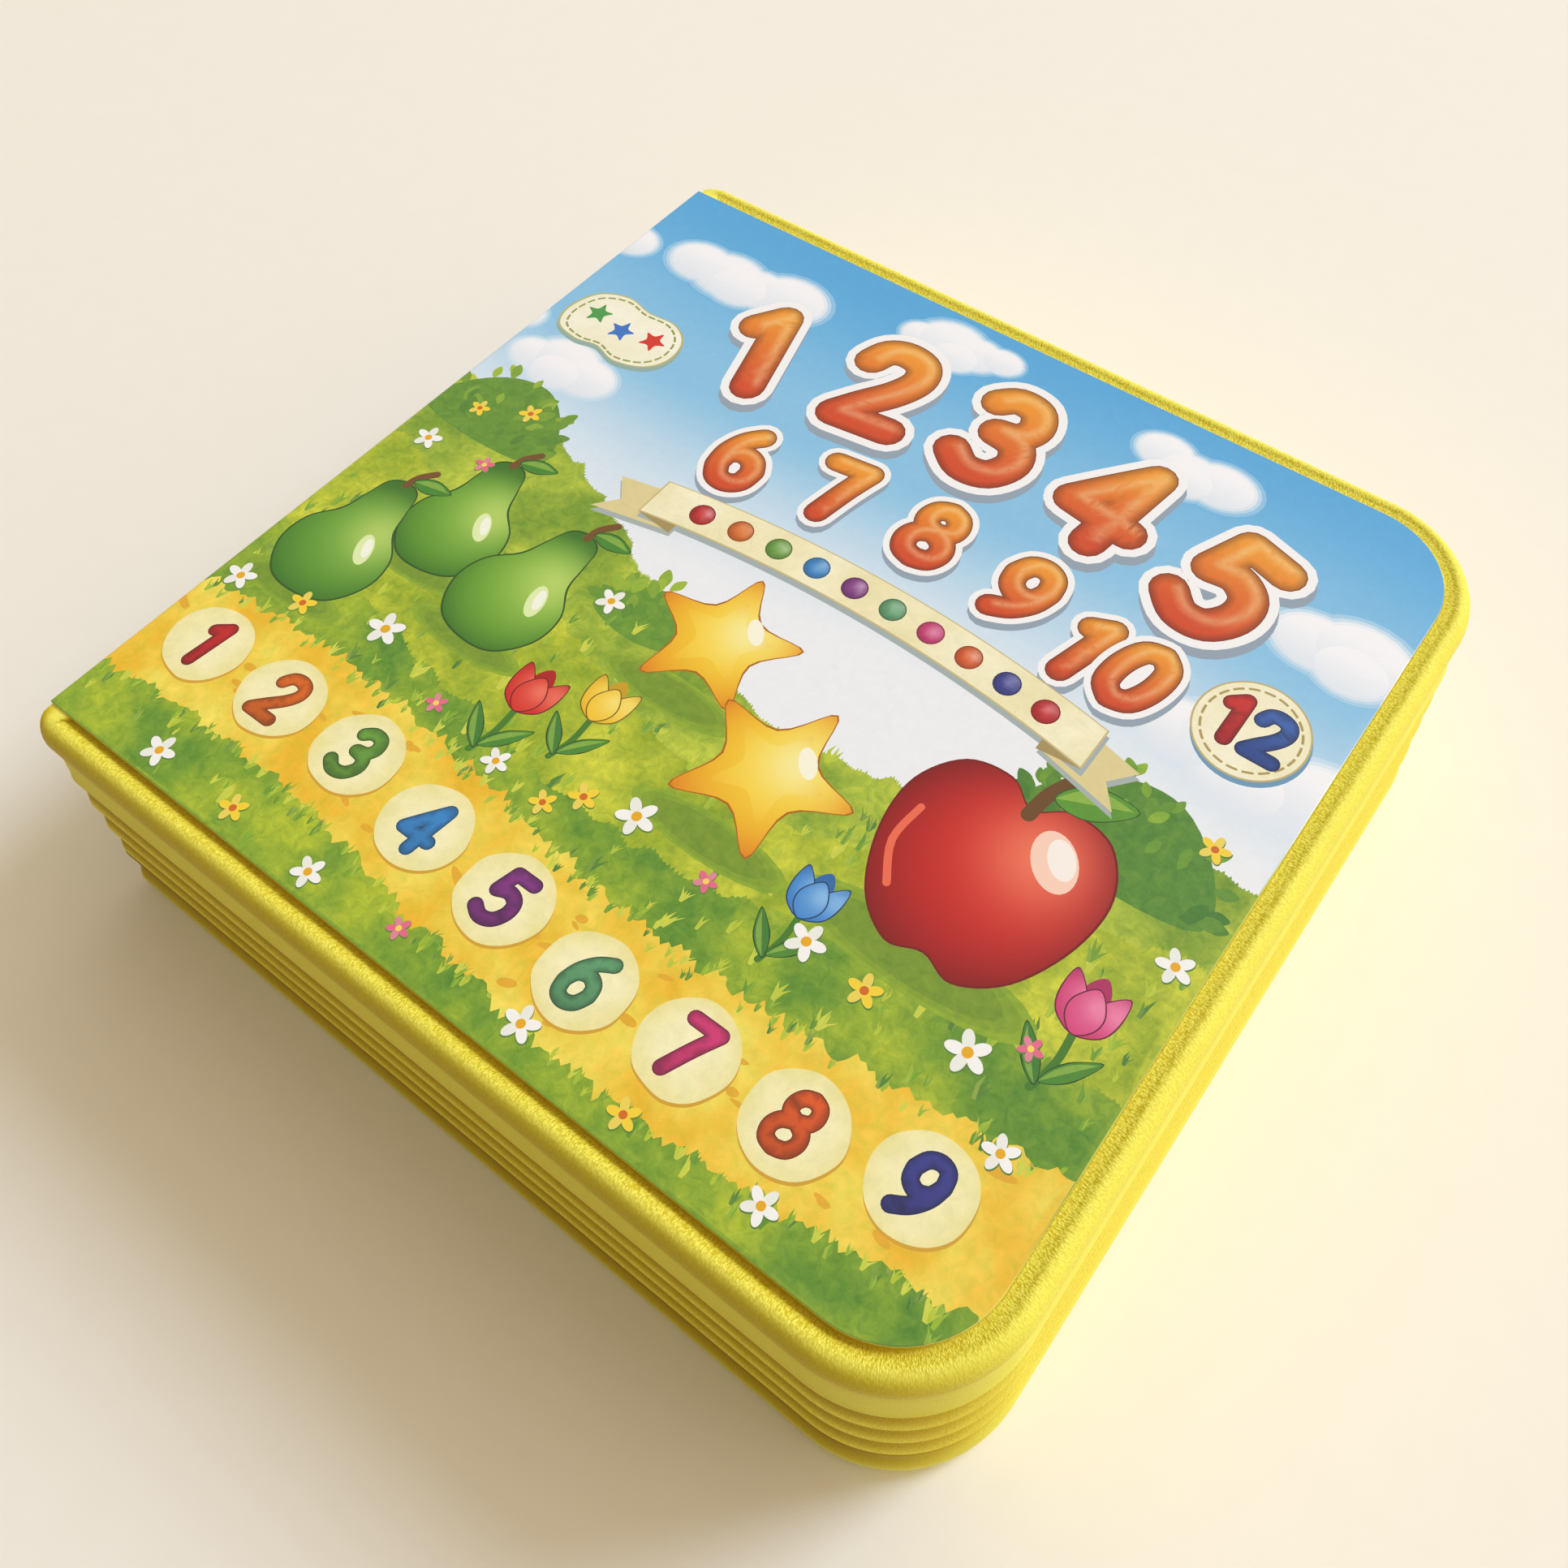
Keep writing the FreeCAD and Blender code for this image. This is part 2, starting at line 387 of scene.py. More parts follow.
def swell(seed, strength, waves=14):
    """Slow seeded ripples along the edge, in mm, one value per column."""
    chance = random.Random(seed)
    parts = [
        (chance.randint(2, 40), chance.uniform(0, 2 * math.pi), chance.uniform(0.3, 1))
        for _ in range(waves)
    ]
    total = sum(part[2] for part in parts)
    values = []
    for index in range(len(COLUMNS)):
        turn = 2 * math.pi * along[index] / along[-1]
        values.append(
            strength * sum(
                size * math.sin(turn * count + phase)
                for count, phase, size in parts
            ) / total * 2
        )
    return values


def sweep_board(name, section, crest_z, direction, seed, strength):
    """A closed foam board. Each section entry is (inset, depth, flat inset, flat depth, roll, painted
    shade).
    """
    ripples = swell(seed, strength)
    lifts = swell(seed + 1, strength * 0.5)
    vertices, rolls, painted_shades, across = [], [], [], [0.0]
    for index, (inset, depth, flat_inset, flat_depth, roll, painted_shade) in enumerate(section):
        if index:
            before = section[index - 1]
            across.append(across[-1] + math.hypot(inset - before[0], depth - before[1]))
        for column, ripple, lift in zip(COLUMNS, ripples, lifts):
            share = rim_share(column)
            pull = inset * share + flat_inset * (1 - share) - ripple * roll * share
            swells = 2.9 < inset < 4.45 and depth < 2
            rise = 1.05 * (1 - crease_share(column)) * max(depth - 0.4, 0) if swells else 0
            drop = (depth - rise) * share + flat_depth * (1 - share) + abs(lift) * roll * share * 0.5
            x, y = board_point(column, pull)
            vertices.append((x * MM, y * MM, (crest_z - direction * drop) * MM))
            rolls.append(roll * share)
            painted_shades.append(painted_shade * crease_share(column))
    count = len(COLUMNS)
    faces = []
    for ring in range(len(section) - 1):
        for index in range(count):
            after = (index + 1) % count
            faces.append(
                (
                    ring * count + index, (ring + 1) * count + index, (ring + 1) * count + after,
                    ring * count + after,
                )
            )
    sides = len(faces)
    faces.append(tuple(range(count)))
    faces.append(tuple(range((len(section) - 1) * count, len(section) * count))[::-1])
    if direction < 0:
        faces = [face[::-1] for face in faces]
    mesh = bpy.data.meshes.new(name)
    mesh.from_pydata(vertices, [], faces)
    board = add_object(name, mesh)
    # Two point attributes: roll sets the grain and gloss, the second is painted shade that darkens the
    # foam's colour.
    mesh.attributes.new("roll", "FLOAT", "POINT").data.foreach_set("value", rolls)
    mesh.attributes.new("painted_shade", "FLOAT", "POINT").data.foreach_set("value", painted_shades)
    uv = mesh.uv_layers.new(name="edge_mm")
    spots = []
    for number, polygon in enumerate(mesh.polygons):
        for corner, vertex in enumerate(polygon.vertices):
            ring, index = divmod(vertex, count)
            reach = along[index]
            if number < sides and index == 0 and (number % count) == count - 1:
                reach = along[-1]
            spots.extend((reach, across[ring]))
    uv.data.foreach_set("uv", spots)
    for polygon in mesh.polygons[:sides]:
        polygon.use_smooth = True
    return board


RECESS = 0.4
DEPTH_FRONT = FRONT_TOP - FRONT_Z
ROLL_POINTS = (
    (6.5, 0.32, 0), (4.6, 0.32, 0), (4.5, 0.42, 0), (4.42, 1.05, 0.5), (4.2, 1.22, 0.8), (3.8, 1.02, 1),
    (3.2, 0.56, 1), (2.6, 0.22, 1), (2.0, 0.14, 0.62), (1.3, 0.4, 0.3), (0.6, 1.1, 0.18), (0.13, 2.1, 0.15),
    (0.0, 3.1, 0.15), (0.12, 4.1, 0.12), (0.46, 5.0, 0.1), (0.78, 5.8, 0.1),
)
ROLL_STEPS = (1, 1, 2, 1, 1, 2, 3, 3, 3, 3, 3, 3, 3, 3, 3)


def cover_section(depth, shaded):
    """The rim's section from the print bed round the roll and along the wall to the lining bed."""
    bottom = [
        (0.8, 7.0, 0), (0.35, depth - 1.6, 0), (0.1, depth - 0.55, 0), (0.22, depth - 0.16, 0),
        (0.8, depth, 0), (4.45, depth, 0), (4.5, depth - RECESS, 0), (6.5, depth - RECESS, 0),
    ]
    points = list(ROLL_POINTS) + bottom
    path = smooth_path(points[:16], ROLL_STEPS)
    path += smooth_path(points[15:21], (3, 6, 3, 3, 3))[1:]
    path += [np.array(point, float) for point in points[21:]]
    turn = min(range(len(path)), key=lambda index: (path[index][0], index))
    for index, point in enumerate(path):
        if point[0] < path[turn][0] + 1e-6:
            turn = index
            break
    section = []
    for index, (inset, drop, roll) in enumerate(path):
        if index <= turn:
            flat = (max(inset, 0.05), 0.33)
        elif drop < depth - 0.5 and inset < 1:
            share = (drop - path[turn][1]) / (depth - path[turn][1])
            flat = (0.05, 0.33 + share * (depth - 0.33 - RECESS))
        else:
            flat = (max(inset, 0.05) if inset > 1 else 0.05, depth - RECESS)
        # Painted shade: dark beside the print where the sheet's edge would cast its shadow, a band under
        # the roll, a fading shade down the wall, and on the shaded back board darker towards its top, under
        # the leaves.
        if inset > 2.9 and drop < 2:
            dark = 0.6 * min(max((inset - 2.9) / 1.5, 0), 1) ** 1.6
        elif shaded:
            dark = min(max((drop - 2.9) / 3.6, 0), 1)
        elif drop < 6.5:
            dark = 0.5 * smooth(min(max((1.9 - inset) / 1.8, 0), 1))
        else:
            dark = 0.15 + 0.35 * math.exp(6.5 - drop)
        section.append((float(inset), float(drop), flat[0], float(flat[1]), float(roll), dark))
    return section


front_foam = sweep_board(
    "front_cover_rolled_foam", cover_section(DEPTH_FRONT, False), FRONT_TOP, 1, 11, 0.12,
)
back_foam = sweep_board(
    "back_cover_rolled_foam", cover_section(BACK_Z - BACK_BOTTOM, True), BACK_BOTTOM, -1, 23, 0.12,
)
print("front cover foam has", len(front_foam.data.polygons), "faces")

# %% [markdown]
# ## The leaves
#
# The three leaves are plain foam, thinner than the covers. Where each one was trimmed its upper edge
# has gone round, while the lower edge stays sharp and catches the light. Between two leaves that
# leaves a dark line, and painted shade on the upper part of each edge darkens it further.

# %% Sweep the leaves
LEAF_POINTS = (
    (5.0, 0.02, 0), (3.2, 0.03, 0), (2.35, 0.3, 0.2), (1.8, 0.9, 0.3), (1.4, 1.7, 0.3), (1.08, 2.6, 0.3),
    (0.76, 3.6, 0.3), (0.44, 4.8, 0.3), (0.18, 5.9, 0.3), (0.05, 6.5, 0.3), (0.1, 6.88, 0.1), (0.6, 7.0, 0),
    (5.0, 7.0, 0),
)


def leaf_section():
    """The section of a leaf, from its upper face round its edge to its lower face."""
    section = []
    for inset, drop, roll in smooth_path(LEAF_POINTS, (1, 3, 3, 3, 2, 2, 2, 2, 3, 3, 1, 1)):
        drop = min(max(drop * LEAF / 7, 0.12), LEAF - 0.02)
        share = min(max((drop - 0.12) / (LEAF - 0.14), 0), 1)
        flat = (inset, drop) if inset > 2.5 else (0.03, 0.12 + share * (LEAF - 0.14))
        # Painted shade: each edge is darkest on its upper part, under the leaf above, and fades out towards
        # the lower lip.
        dark = (1 - min(max((drop - 4.1) / 2.0, 0), 1) ** 1.2) * (0.4 + 0.3 * smooth(min(drop / 3.6, 1)))
        section.append(
            (float(inset) + 0.12, float(drop), float(flat[0]), float(flat[1]), float(roll), float(dark))
        )
    return section


leaves = []
for number in range(LEAVES):
    top = block_low[2] + (number + 1) * LEAF
    leaves.append(sweep_board(f"foam_leaf_{number + 1}", leaf_section(), top, 1, 40 + 7 * number, 0.1))
print(len(leaves), "leaves of", round(LEAF, 1), "mm")

# %% [markdown]
# ## How the picture is printed
#
# The cover picture is ink on smooth sheet, so it has no depth of its own. Here it is drawn the way a
# paper cut-out is: flat shapes laid over each other in order. A triangulation then cuts the sheet
# along every outline, and each triangle takes the colour of the topmost shape. Colours sit on the
# corners of the triangles, so edges stay sharp while the inside of a shape can shade softly.

# %% Drawing tools
def curve(points, steps=8, closed=False):
    """A smooth line through the points."""
    points = [np.array(point, float) for point in points]
    count = len(points)
    spans = count if closed else count - 1
    line = []
    for index in range(spans):
        if closed:
            p0, p1, p2, p3 = (points[(index + k - 1) % count] for k in range(4))
        else:
            p0, p1, p2, p3 = (points[min(max(index + k - 1, 0), count - 1)] for k in range(4))
        for step in range(steps):
            t = step / steps
            line.append(
                0.5 * (2 * p1 + (p2 - p0) * t + (2 * p0 - 5 * p1 + 4 * p2 - p3) * t**2
                       + (3 * p1 - p0 - 3 * p2 + p3) * t**3)
            )
    if not closed:
        line.append(points[-1])
    return np.array(line)


def oval(u, v, wide, tall, turn=0.0, count=28):
    """An ellipse; wide and tall are half sizes and turn is in degrees."""
    angles = np.linspace(0, 2 * math.pi, count, endpoint=False)
    x, y = wide * np.cos(angles), tall * np.sin(angles)
    lean = math.radians(turn)
    return np.stack(
        [u + x * math.cos(lean) - y * math.sin(lean), v + x * math.sin(lean) + y * math.cos(lean)], 1,
    )


def line_distance(spots, lines):
    """How far each spot is from the nearest centre line."""
    best = np.full(len(spots), 1e9)
    for line in lines:
        for a, b in zip(line, line[1:]):
            step = b - a
            share = np.clip(((spots - a) @ step) / max(step @ step, 1e-12), 0, 1)
            near = a + share[:, None] * step
            best = np.minimum(best, np.hypot(*(spots - near).T))
    return best


def thick_line(line, half, taper=None):
    """The outline of a round-ended stroke along an open line; taper thins it towards its end."""
    line = np.array(line, float)
    ahead = np.gradient(line, axis=0)
    ahead /= np.maximum(np.hypot(ahead[:, 0], ahead[:, 1])[:, None], 1e-9)
    side = np.stack([-ahead[:, 1], ahead[:, 0]], 1)
    widths = np.full(len(line), float(half))
    if taper is not None:
        widths *= np.linspace(1, taper, len(line))
    left = line + side * widths[:, None]
    right = line - side * widths[:, None]
    if taper is None and len(line) > 2:
        left = left[line_distance(left, [line]) > half * 0.985]
        right = right[line_distance(right, [line]) > half * 0.985]

    def cap(end, direction, width, count=7):
        start = math.atan2(direction[1], direction[0]) + math.pi / 2
        turns = [start - math.pi * step / count for step in range(1, count)]
        return np.array([[end[0] + width * math.cos(a), end[1] + width * math.sin(a)] for a in turns])

    return np.concatenate(
        [left, cap(line[-1], ahead[-1], widths[-1]), right[::-1], cap(line[0], -ahead[0], widths[0])]
    )


def star(u, v, reach, turn=0.0, points=5, waist=0.52):
    """A star with soft points."""
    corners = []
    for index in range(points * 2):
        angle = math.radians(turn + 90 + 180 * index / points)
        size = reach if index % 2 == 0 else reach * waist
        corners.append((u + size * math.cos(angle), v + size * math.sin(angle)))
    return curve(corners, 5, closed=True)


def mix(first, second, share):
    """Colour part way from first to second; share may be one number or one per point."""
    first, second = np.array(first, float), np.array(second, float)
    share = np.clip(np.array(share, float), 0, 1)
    if share.ndim:
        share = share[:, None]
    return first + (second - first) * share


WHITE, BLACK = (255, 255, 255), (0, 0, 0)


def darker(colour, share):
    return tuple(np.array(colour) * share)


def ball(base, light, dark, centre, size):
    """A round, glossy look: light at the upper fore side, dark at the opposite edge."""

    def paint(spots):
        x, y = (spots[:, 0] - centre[0]) / size, (spots[:, 1] - centre[1]) / size
        bright = np.exp(-((x - 0.32) ** 2 + (y - 0.38) ** 2) * 3.2)
        shade = np.clip(np.hypot(x + 0.05, y + 0.05) ** 3 * 0.75 - x * 0.18 - y * 0.22, 0, 1)
        return mix(mix(base, dark, shade), light, bright * 0.75)

    return paint


def bead(picture, u, v, size, colour, rim, count, dark=None):
    """A shaded dot. Size gives the half widths of its rim, its face and its shading."""
    shade = mix(colour, BLACK, 0.3) if dark is None else dark
    picture.add(oval(u, v, size[0], size[0], 0, count), rim, 0)
    face = oval(u, v, size[1], size[1], 0, count)
    picture.add(face, ball(colour, mix(colour, WHITE, 0.7), shade, (u, v), size[2]), 0.05)


def paper(low, high, size, seed):
    """Cream paper with slow light and dark patches."""
    return lambda spots: mix(low, high, 0.5 + 0.8 * blotches(spots, size, seed))


def blotches(spots, size, seed=0.0):
    """Slow random patches between -1 and 1."""
    return np.array([noise.noise(Vector((u / size, v / size, seed))) for u, v in spots[:, :2]])


DIGITS = {
    "0": [
        [(0.3, 1.0), (0.09, 0.86), (0.02, 0.5), (0.09, 0.14), (0.3, 0.0)],
        [(0.3, 0.0), (0.51, 0.14), (0.58, 0.5), (0.51, 0.86), (0.3, 1.0)],
    ],
    "1": [[(0.12, 0.8), (0.24, 0.9), (0.36, 1.0)], [(0.36, 1.0), (0.36, 0.5), (0.36, 0.0)]],
    "2": [
        [
            (0.04, 0.78), (0.14, 0.95), (0.32, 1.0), (0.52, 0.92), (0.57, 0.72), (0.45, 0.48), (0.22, 0.22),
            (0.04, 0.0),
        ],
        [(0.04, 0.0), (0.32, 0.0), (0.6, 0.0)],
    ],
    "3": [
        [(0.05, 0.88), (0.2, 1.0), (0.42, 0.97), (0.52, 0.78), (0.44, 0.6), (0.24, 0.54)],
        [(0.24, 0.54), (0.48, 0.49), (0.58, 0.28), (0.46, 0.05), (0.22, 0.0), (0.02, 0.13)],
    ],
    "4": [
        [(0.42, 0.0), (0.42, 0.5), (0.42, 1.0)], [(0.42, 1.0), (0.2, 0.64), (0.0, 0.3)],
        [(0.0, 0.3), (0.32, 0.3), (0.62, 0.3)],
    ],
    "5": [
        [(0.53, 1.0), (0.34, 1.0), (0.13, 1.0)], [(0.13, 1.0), (0.1, 0.78), (0.07, 0.56)],
        [(0.07, 0.56), (0.3, 0.64), (0.52, 0.54), (0.58, 0.31), (0.47, 0.07), (0.24, 0.0), (0.02, 0.11)],
    ],
    "6": [
        [(0.5, 1.0), (0.26, 0.84), (0.09, 0.58), (0.04, 0.3)],
        [(0.04, 0.3), (0.12, 0.52), (0.32, 0.6), (0.52, 0.5), (0.59, 0.3)],
        [(0.59, 0.3), (0.5, 0.08), (0.31, 0.0), (0.12, 0.08), (0.04, 0.3)],
    ],
    "7": [[(0.02, 1.0), (0.3, 1.0), (0.58, 1.0)], [(0.58, 1.0), (0.4, 0.55), (0.22, 0.0)]],
    "8": [
        [(0.3, 0.54), (0.12, 0.62), (0.07, 0.77), (0.14, 0.93), (0.3, 1.0)],
        [(0.3, 1.0), (0.46, 0.93), (0.53, 0.77), (0.48, 0.62), (0.3, 0.54)],
        [(0.3, 0.54), (0.1, 0.44), (0.02, 0.26), (0.1, 0.07), (0.3, 0.0)],
        [(0.3, 0.0), (0.5, 0.07), (0.58, 0.26), (0.5, 0.44), (0.3, 0.54)],
    ],
}
DIGITS["9"] = [[(0.62 - u, 1 - v) for u, v in part] for part in DIGITS["6"]]


def digit_lines(figure, u, v, tall, turn=0.0, slant=0.0):
    """The centre lines of a figure with its middle at u, v."""
    lean = math.radians(turn)
    lines = []
    for part in DIGITS[figure]:
        line = curve(part, 5 if len(part) > 3 else 3)
        x = (line[:, 0] - 0.31 + (line[:, 1] - 0.5) * slant) * tall
        y = (line[:, 1] - 0.5) * tall
        lines.append(
            np.stack(
                [u + x * math.cos(lean) - y * math.sin(lean), v + x * math.sin(lean) + y * math.cos(lean)],
                1,
            )
        )
    return lines


class Picture:
    """Shapes in the order they are laid down. The first one is the whole sheet."""

    def __init__(self, outline, colour, grain=0.1):
        self.shapes = [(np.array(outline, float), colour, grain)]
        self.extra = []

    def add(self, outline, colour, grain=0.1):
        self.shapes.append((np.array(outline, float), colour, grain))

    def digit(self, figure, u, v, tall, half, low, high, turn=0.0, slant=0.0, border=None, gloss=False):
        """A plain figure with a darker rim and, for a large one, a pale border and a highlight."""
        lines = digit_lines(figure, u, v, tall, turn, slant)
        if border:
            for line in lines:
                self.add(
                    thick_line(line + (0.5 * border, -1.0 * border), half + border * 0.95), (150, 166, 180),
                    0,
                )
            for line in lines:
                self.add(thick_line(line, half + border), (250, 250, 247), 0)
        for line in lines:
            self.add(thick_line(line, half + 0.16), darker(low, 0.62), 0)

        def paint(spots):
            body = mix(low, high, (spots[:, 1] - v) / tall + 0.5)
            near = line_distance(spots, lines) / half
            dark = np.clip((near - 0.55) / 0.45, 0, 1) * 0.3
            body = body * (1 - dark[:, None])
            if gloss:
                shine = line_distance(spots + (-0.28 * half, -0.42 * half), lines) / half
                glow = np.clip(1 - shine / 0.42, 0, 1) * 0.4
                body = body + (np.array((255, 246, 214)) - body) * glow[:, None]
            return body

        for line in lines:
            self.add(thick_line(line, half), paint, 0.05)
            if gloss:
                ahead = np.gradient(line, axis=0)
                ahead /= np.maximum(np.hypot(ahead[:, 0], ahead[:, 1])[:, None], 1e-9)
                side = np.stack([-ahead[:, 1], ahead[:, 0]], 1)
                for reach in (-0.8, -0.55, -0.28, 0, 0.28, 0.55, 0.8):
                    self.extra.extend(map(tuple, line + side * half * reach))


print("figures ready:", "".join(sorted(DIGITS)))

# %% [markdown]
# ## Garden motifs
#
# The picture is a bright garden for counting: one apple, two stars, three pears, and tulips, daisies
# and tufts between them. Each motif is a small function, so it can be placed, sized and coloured
# freely. Big fruit is shaded like a balloon, because the printed fruit should look glossy and round.

# %% Motifs
GREENS = ((96, 148, 42), (120, 168, 44), (148, 184, 48), (176, 198, 52), (200, 212, 70), (78, 128, 50))


def dark_rim(picture, outline, colour, width=0.35):
    """A thin dark line round a shape, drawn as a slightly larger copy below it."""
    middle = outline.mean(axis=0)
    away = outline - middle
    size = np.hypot(away[:, 0], away[:, 1])[:, None]
    picture.add(outline + away / np.maximum(size, 1e-6) * width, colour, 0)


def ground_shadow(picture, u, v, wide, colour=(84, 118, 38)):
    for grow in (1.25, 1.1, 0.92):
        picture.add(
            oval(u, v, wide * grow, wide * 0.26 * grow, 0, 20), mix((150, 180, 50), colour, 1.35 - grow),
            0.6,
        )


def leaf(picture, u, v, length, width, turn, colour=(70, 130, 50)):
    """A pointed leaf with a lighter half and a vein."""
    line = np.array(
        [(0, 0), (0.25, 0.42), (0.6, 0.46), (1, 0), (0.6, -0.42), (0.25, -0.4)]
    ) * (length, width)
    lean = math.radians(turn)
    spin = np.array([[math.cos(lean), math.sin(lean)], [-math.sin(lean), math.cos(lean)]])
    shape = curve(line, 4, closed=True) @ spin + (u, v)
    dark_rim(picture, shape, darker(colour, 0.55), 0.2)
    picture.add(shape, colour, 0.3)
    half = curve([(0, 0), (0.3, 0.34), (0.65, 0.36), (1, 0)], 4) * (length * 0.94, width)
    picture.add(half @ spin + (u, v), mix(colour, (190, 214, 90), 0.5), 0.3)


def apple(picture, u, v, size):
    """A glossy red apple with a stalk, a leaf and two highlights."""
    ground_shadow(picture, u - 1, v - size * 0.98, size * 0.95)
    body = curve(
        np.array(
            [
                (0, 0.72), (0.3, 0.9), (0.72, 0.82), (0.98, 0.4), (0.95, -0.15), (0.7, -0.7), (0.32, -0.97),
                (0, -0.88), (-0.32, -0.97), (-0.7, -0.7), (-0.95, -0.15), (-0.98, 0.4), (-0.72, 0.82),
                (-0.3, 0.9),
            ]
        ) * size + (u, v),
        6, closed=True,
    )
    dark_rim(picture, body, (120, 14, 14))
    picture.add(body, ball((206, 34, 28), (255, 150, 110), (128, 8, 14), (u, v), size), 0.05)
    picture.add(
        thick_line(
            curve(
                [
                    (u, v + size * 0.68), (u + size * 0.04, v + size * 0.95),
                    (u + size * 0.16, v + size * 1.2),
                ],
                4,
            ),
            size * 0.07,
        ),
        (110, 72, 30), 0,
    )
    leaf(picture, u + size * 0.1, v + size * 0.95, size * 0.72, size * 0.34, 24, (92, 152, 48))
    picture.add(oval(u + size * 0.42, v + size * 0.42, size * 0.2, size * 0.3, 40), (255, 214, 190), 0)
    picture.add(oval(u + size * 0.46, v + size * 0.47, size * 0.12, size * 0.2, 40), (255, 246, 236), 0)
    picture.add(
        thick_line(
            curve(
                [
                    (u - size * 0.78, v + size * 0.2), (u - size * 0.8, v - size * 0.2),
                    (u - size * 0.6, v - size * 0.56),
                ],
                5,
            ),
            size * 0.035,
        ),
        (240, 110, 80), 0,
    )


def pear(picture, u, v, size, turn=0.0, base=(112, 168, 52)):
    """A glossy green pear."""
    ground_shadow(picture, u, v - size * 0.98, size * 0.78)
    lean = math.radians(turn)
    spin = np.array([[math.cos(lean), math.sin(lean)], [-math.sin(lean), math.cos(lean)]])
    body = curve(
        [
            (0, 1.28), (0.26, 1.16), (0.36, 0.82), (0.46, 0.46), (0.76, 0.08), (0.8, -0.4), (0.5, -0.86),
            (0, -0.98), (-0.5, -0.86), (-0.8, -0.4), (-0.76, 0.08), (-0.46, 0.46), (-0.36, 0.82),
            (-0.26, 1.16),
        ],
        6, closed=True,
    ) * size @ spin + (u, v)
    dark_rim(picture, body, (44, 84, 22))
    picture.add(body, ball(base, (206, 228, 120), (52, 108, 26), (u, v), size), 0.05)
    tip = np.array((0, 1.24 * size)) @ spin + (u, v)
    picture.add(
        thick_line(
            curve([tip, tip + (size * 0.04, size * 0.2), tip + (size * 0.2, size * 0.4)], 4), size * 0.06,
        ),
        (116, 78, 34), 0,
    )
    leaf(
        picture, tip[0] + size * 0.05, tip[1] + size * 0.12, size * 0.6, size * 0.26, 8 + turn,
        (70, 134, 44),
    )
    shine = np.array((0.32, 0.05)) * size @ spin + (u, v)
    picture.add(oval(shine[0], shine[1], size * 0.13, size * 0.27, 24 + turn), (228, 244, 178), 0)
    picture.add(
        oval(shine[0] + size * 0.02, shine[1] + size * 0.04, size * 0.07, size * 0.17, 24 + turn),
        (250, 254, 234), 0,
    )


def garden_star(picture, u, v, size, turn):
    """A puffy yellow star."""
    ground_shadow(picture, u, v - size * 0.95, size * 0.8)
    body = star(u, v, size, turn)
    dark_rim(picture, body, (176, 104, 16))
    picture.add(body, ball((250, 206, 44), (255, 244, 150), (226, 132, 22), (u, v), size * 0.95), 0.05)
    inner = star(u + size * 0.02, v + size * 0.03, size * 0.62, turn)
    picture.add(inner, ball((253, 220, 70), (255, 250, 190), (240, 168, 34), (u, v), size * 0.7), 0.05)
    picture.add(oval(u + size * 0.28, v + size * 0.34, size * 0.1, size * 0.2, 42), (255, 253, 226), 0)


def tulip(picture, u, v, size, colour, light):
    """A tulip on its stem with two leaves."""
    stem = curve(
        [(u - size * 0.1, v - size * 1.9), (u + size * 0.06, v - size * 1.2), (u, v - size * 0.3)], 5,
    )
    picture.add(thick_line(stem, size * 0.085), (70, 124, 40), 0.2)
    leaf(picture, u - size * 0.06, v - size * 1.8, size * 1.25, size * 0.36, 128, (66, 126, 50))
    leaf(picture, u - size * 0.02, v - size * 1.7, size * 1.3, size * 0.36, 50, (76, 138, 48))
    dark = darker(colour, 0.5)
    back = curve(
        np.array([(-0.3, -0.2), (-0.28, 0.5), (0, 0.86), (0.28, 0.5), (0.3, -0.2)]) * size + (u, v), 5,
    )
    picture.add(back, mix(colour, dark, 0.35), 0.1)
    for side in (-1, 1):
        petal = curve(
            np.array(
                [
                    (side * 0.02, -0.5), (side * 0.5, -0.28), (side * 0.66, 0.2), (side * 0.6, 0.72),
                    (side * 0.26, 0.44), (side * 0.02, 0.02),
                ]
            ) * size + (u, v),
            5, closed=True,
        )
        if side < 0:
            petal = petal[::-1]
        dark_rim(picture, petal, dark, 0.22)
        picture.add(
            petal, ball(colour, light, mix(colour, dark, 0.6), (u + side * size * 0.3, v), size * 0.8), 0.1,
        )
    middle = curve(
        np.array(
            [(0, -0.52), (0.32, -0.24), (0.34, 0.16), (0, 0.56), (-0.34, 0.16), (-0.32, -0.24)]
        ) * size + (u, v),
        5, closed=True,
    )
    dark_rim(picture, middle, dark, 0.2)
    picture.add(middle, ball(mix(colour, light, 0.25), light, colour, (u, v), size * 0.6), 0.1)


def daisy(picture, u, v, size, petals=(252, 252, 246), heart=(236, 176, 30), count=5, turn=0.0):
    for index in range(count):
        angle = 360 * index / count + turn
        reach = math.radians(angle)
        spot = (u + size * 0.56 * math.cos(reach), v + size * 0.56 * math.sin(reach))
        picture.add(
            oval(spot[0] + 0.1, spot[1] - 0.15, size * 0.5, size * 0.31, angle, 16), (92, 132, 52), 0.2,
        )
    for index in range(count):
        angle = 360 * index / count + turn
        reach = math.radians(angle)
        spot = (u + size * 0.56 * math.cos(reach), v + size * 0.56 * math.sin(reach))
        picture.add(
            oval(spot[0], spot[1], size * 0.47, size * 0.28, angle, 20),
            mix(petals, (214, 220, 196), 0.25 * (index % 2)), 0.1,
        )
    picture.add(oval(u, v, size * 0.26, size * 0.26, 0, 12), heart, 0.1)


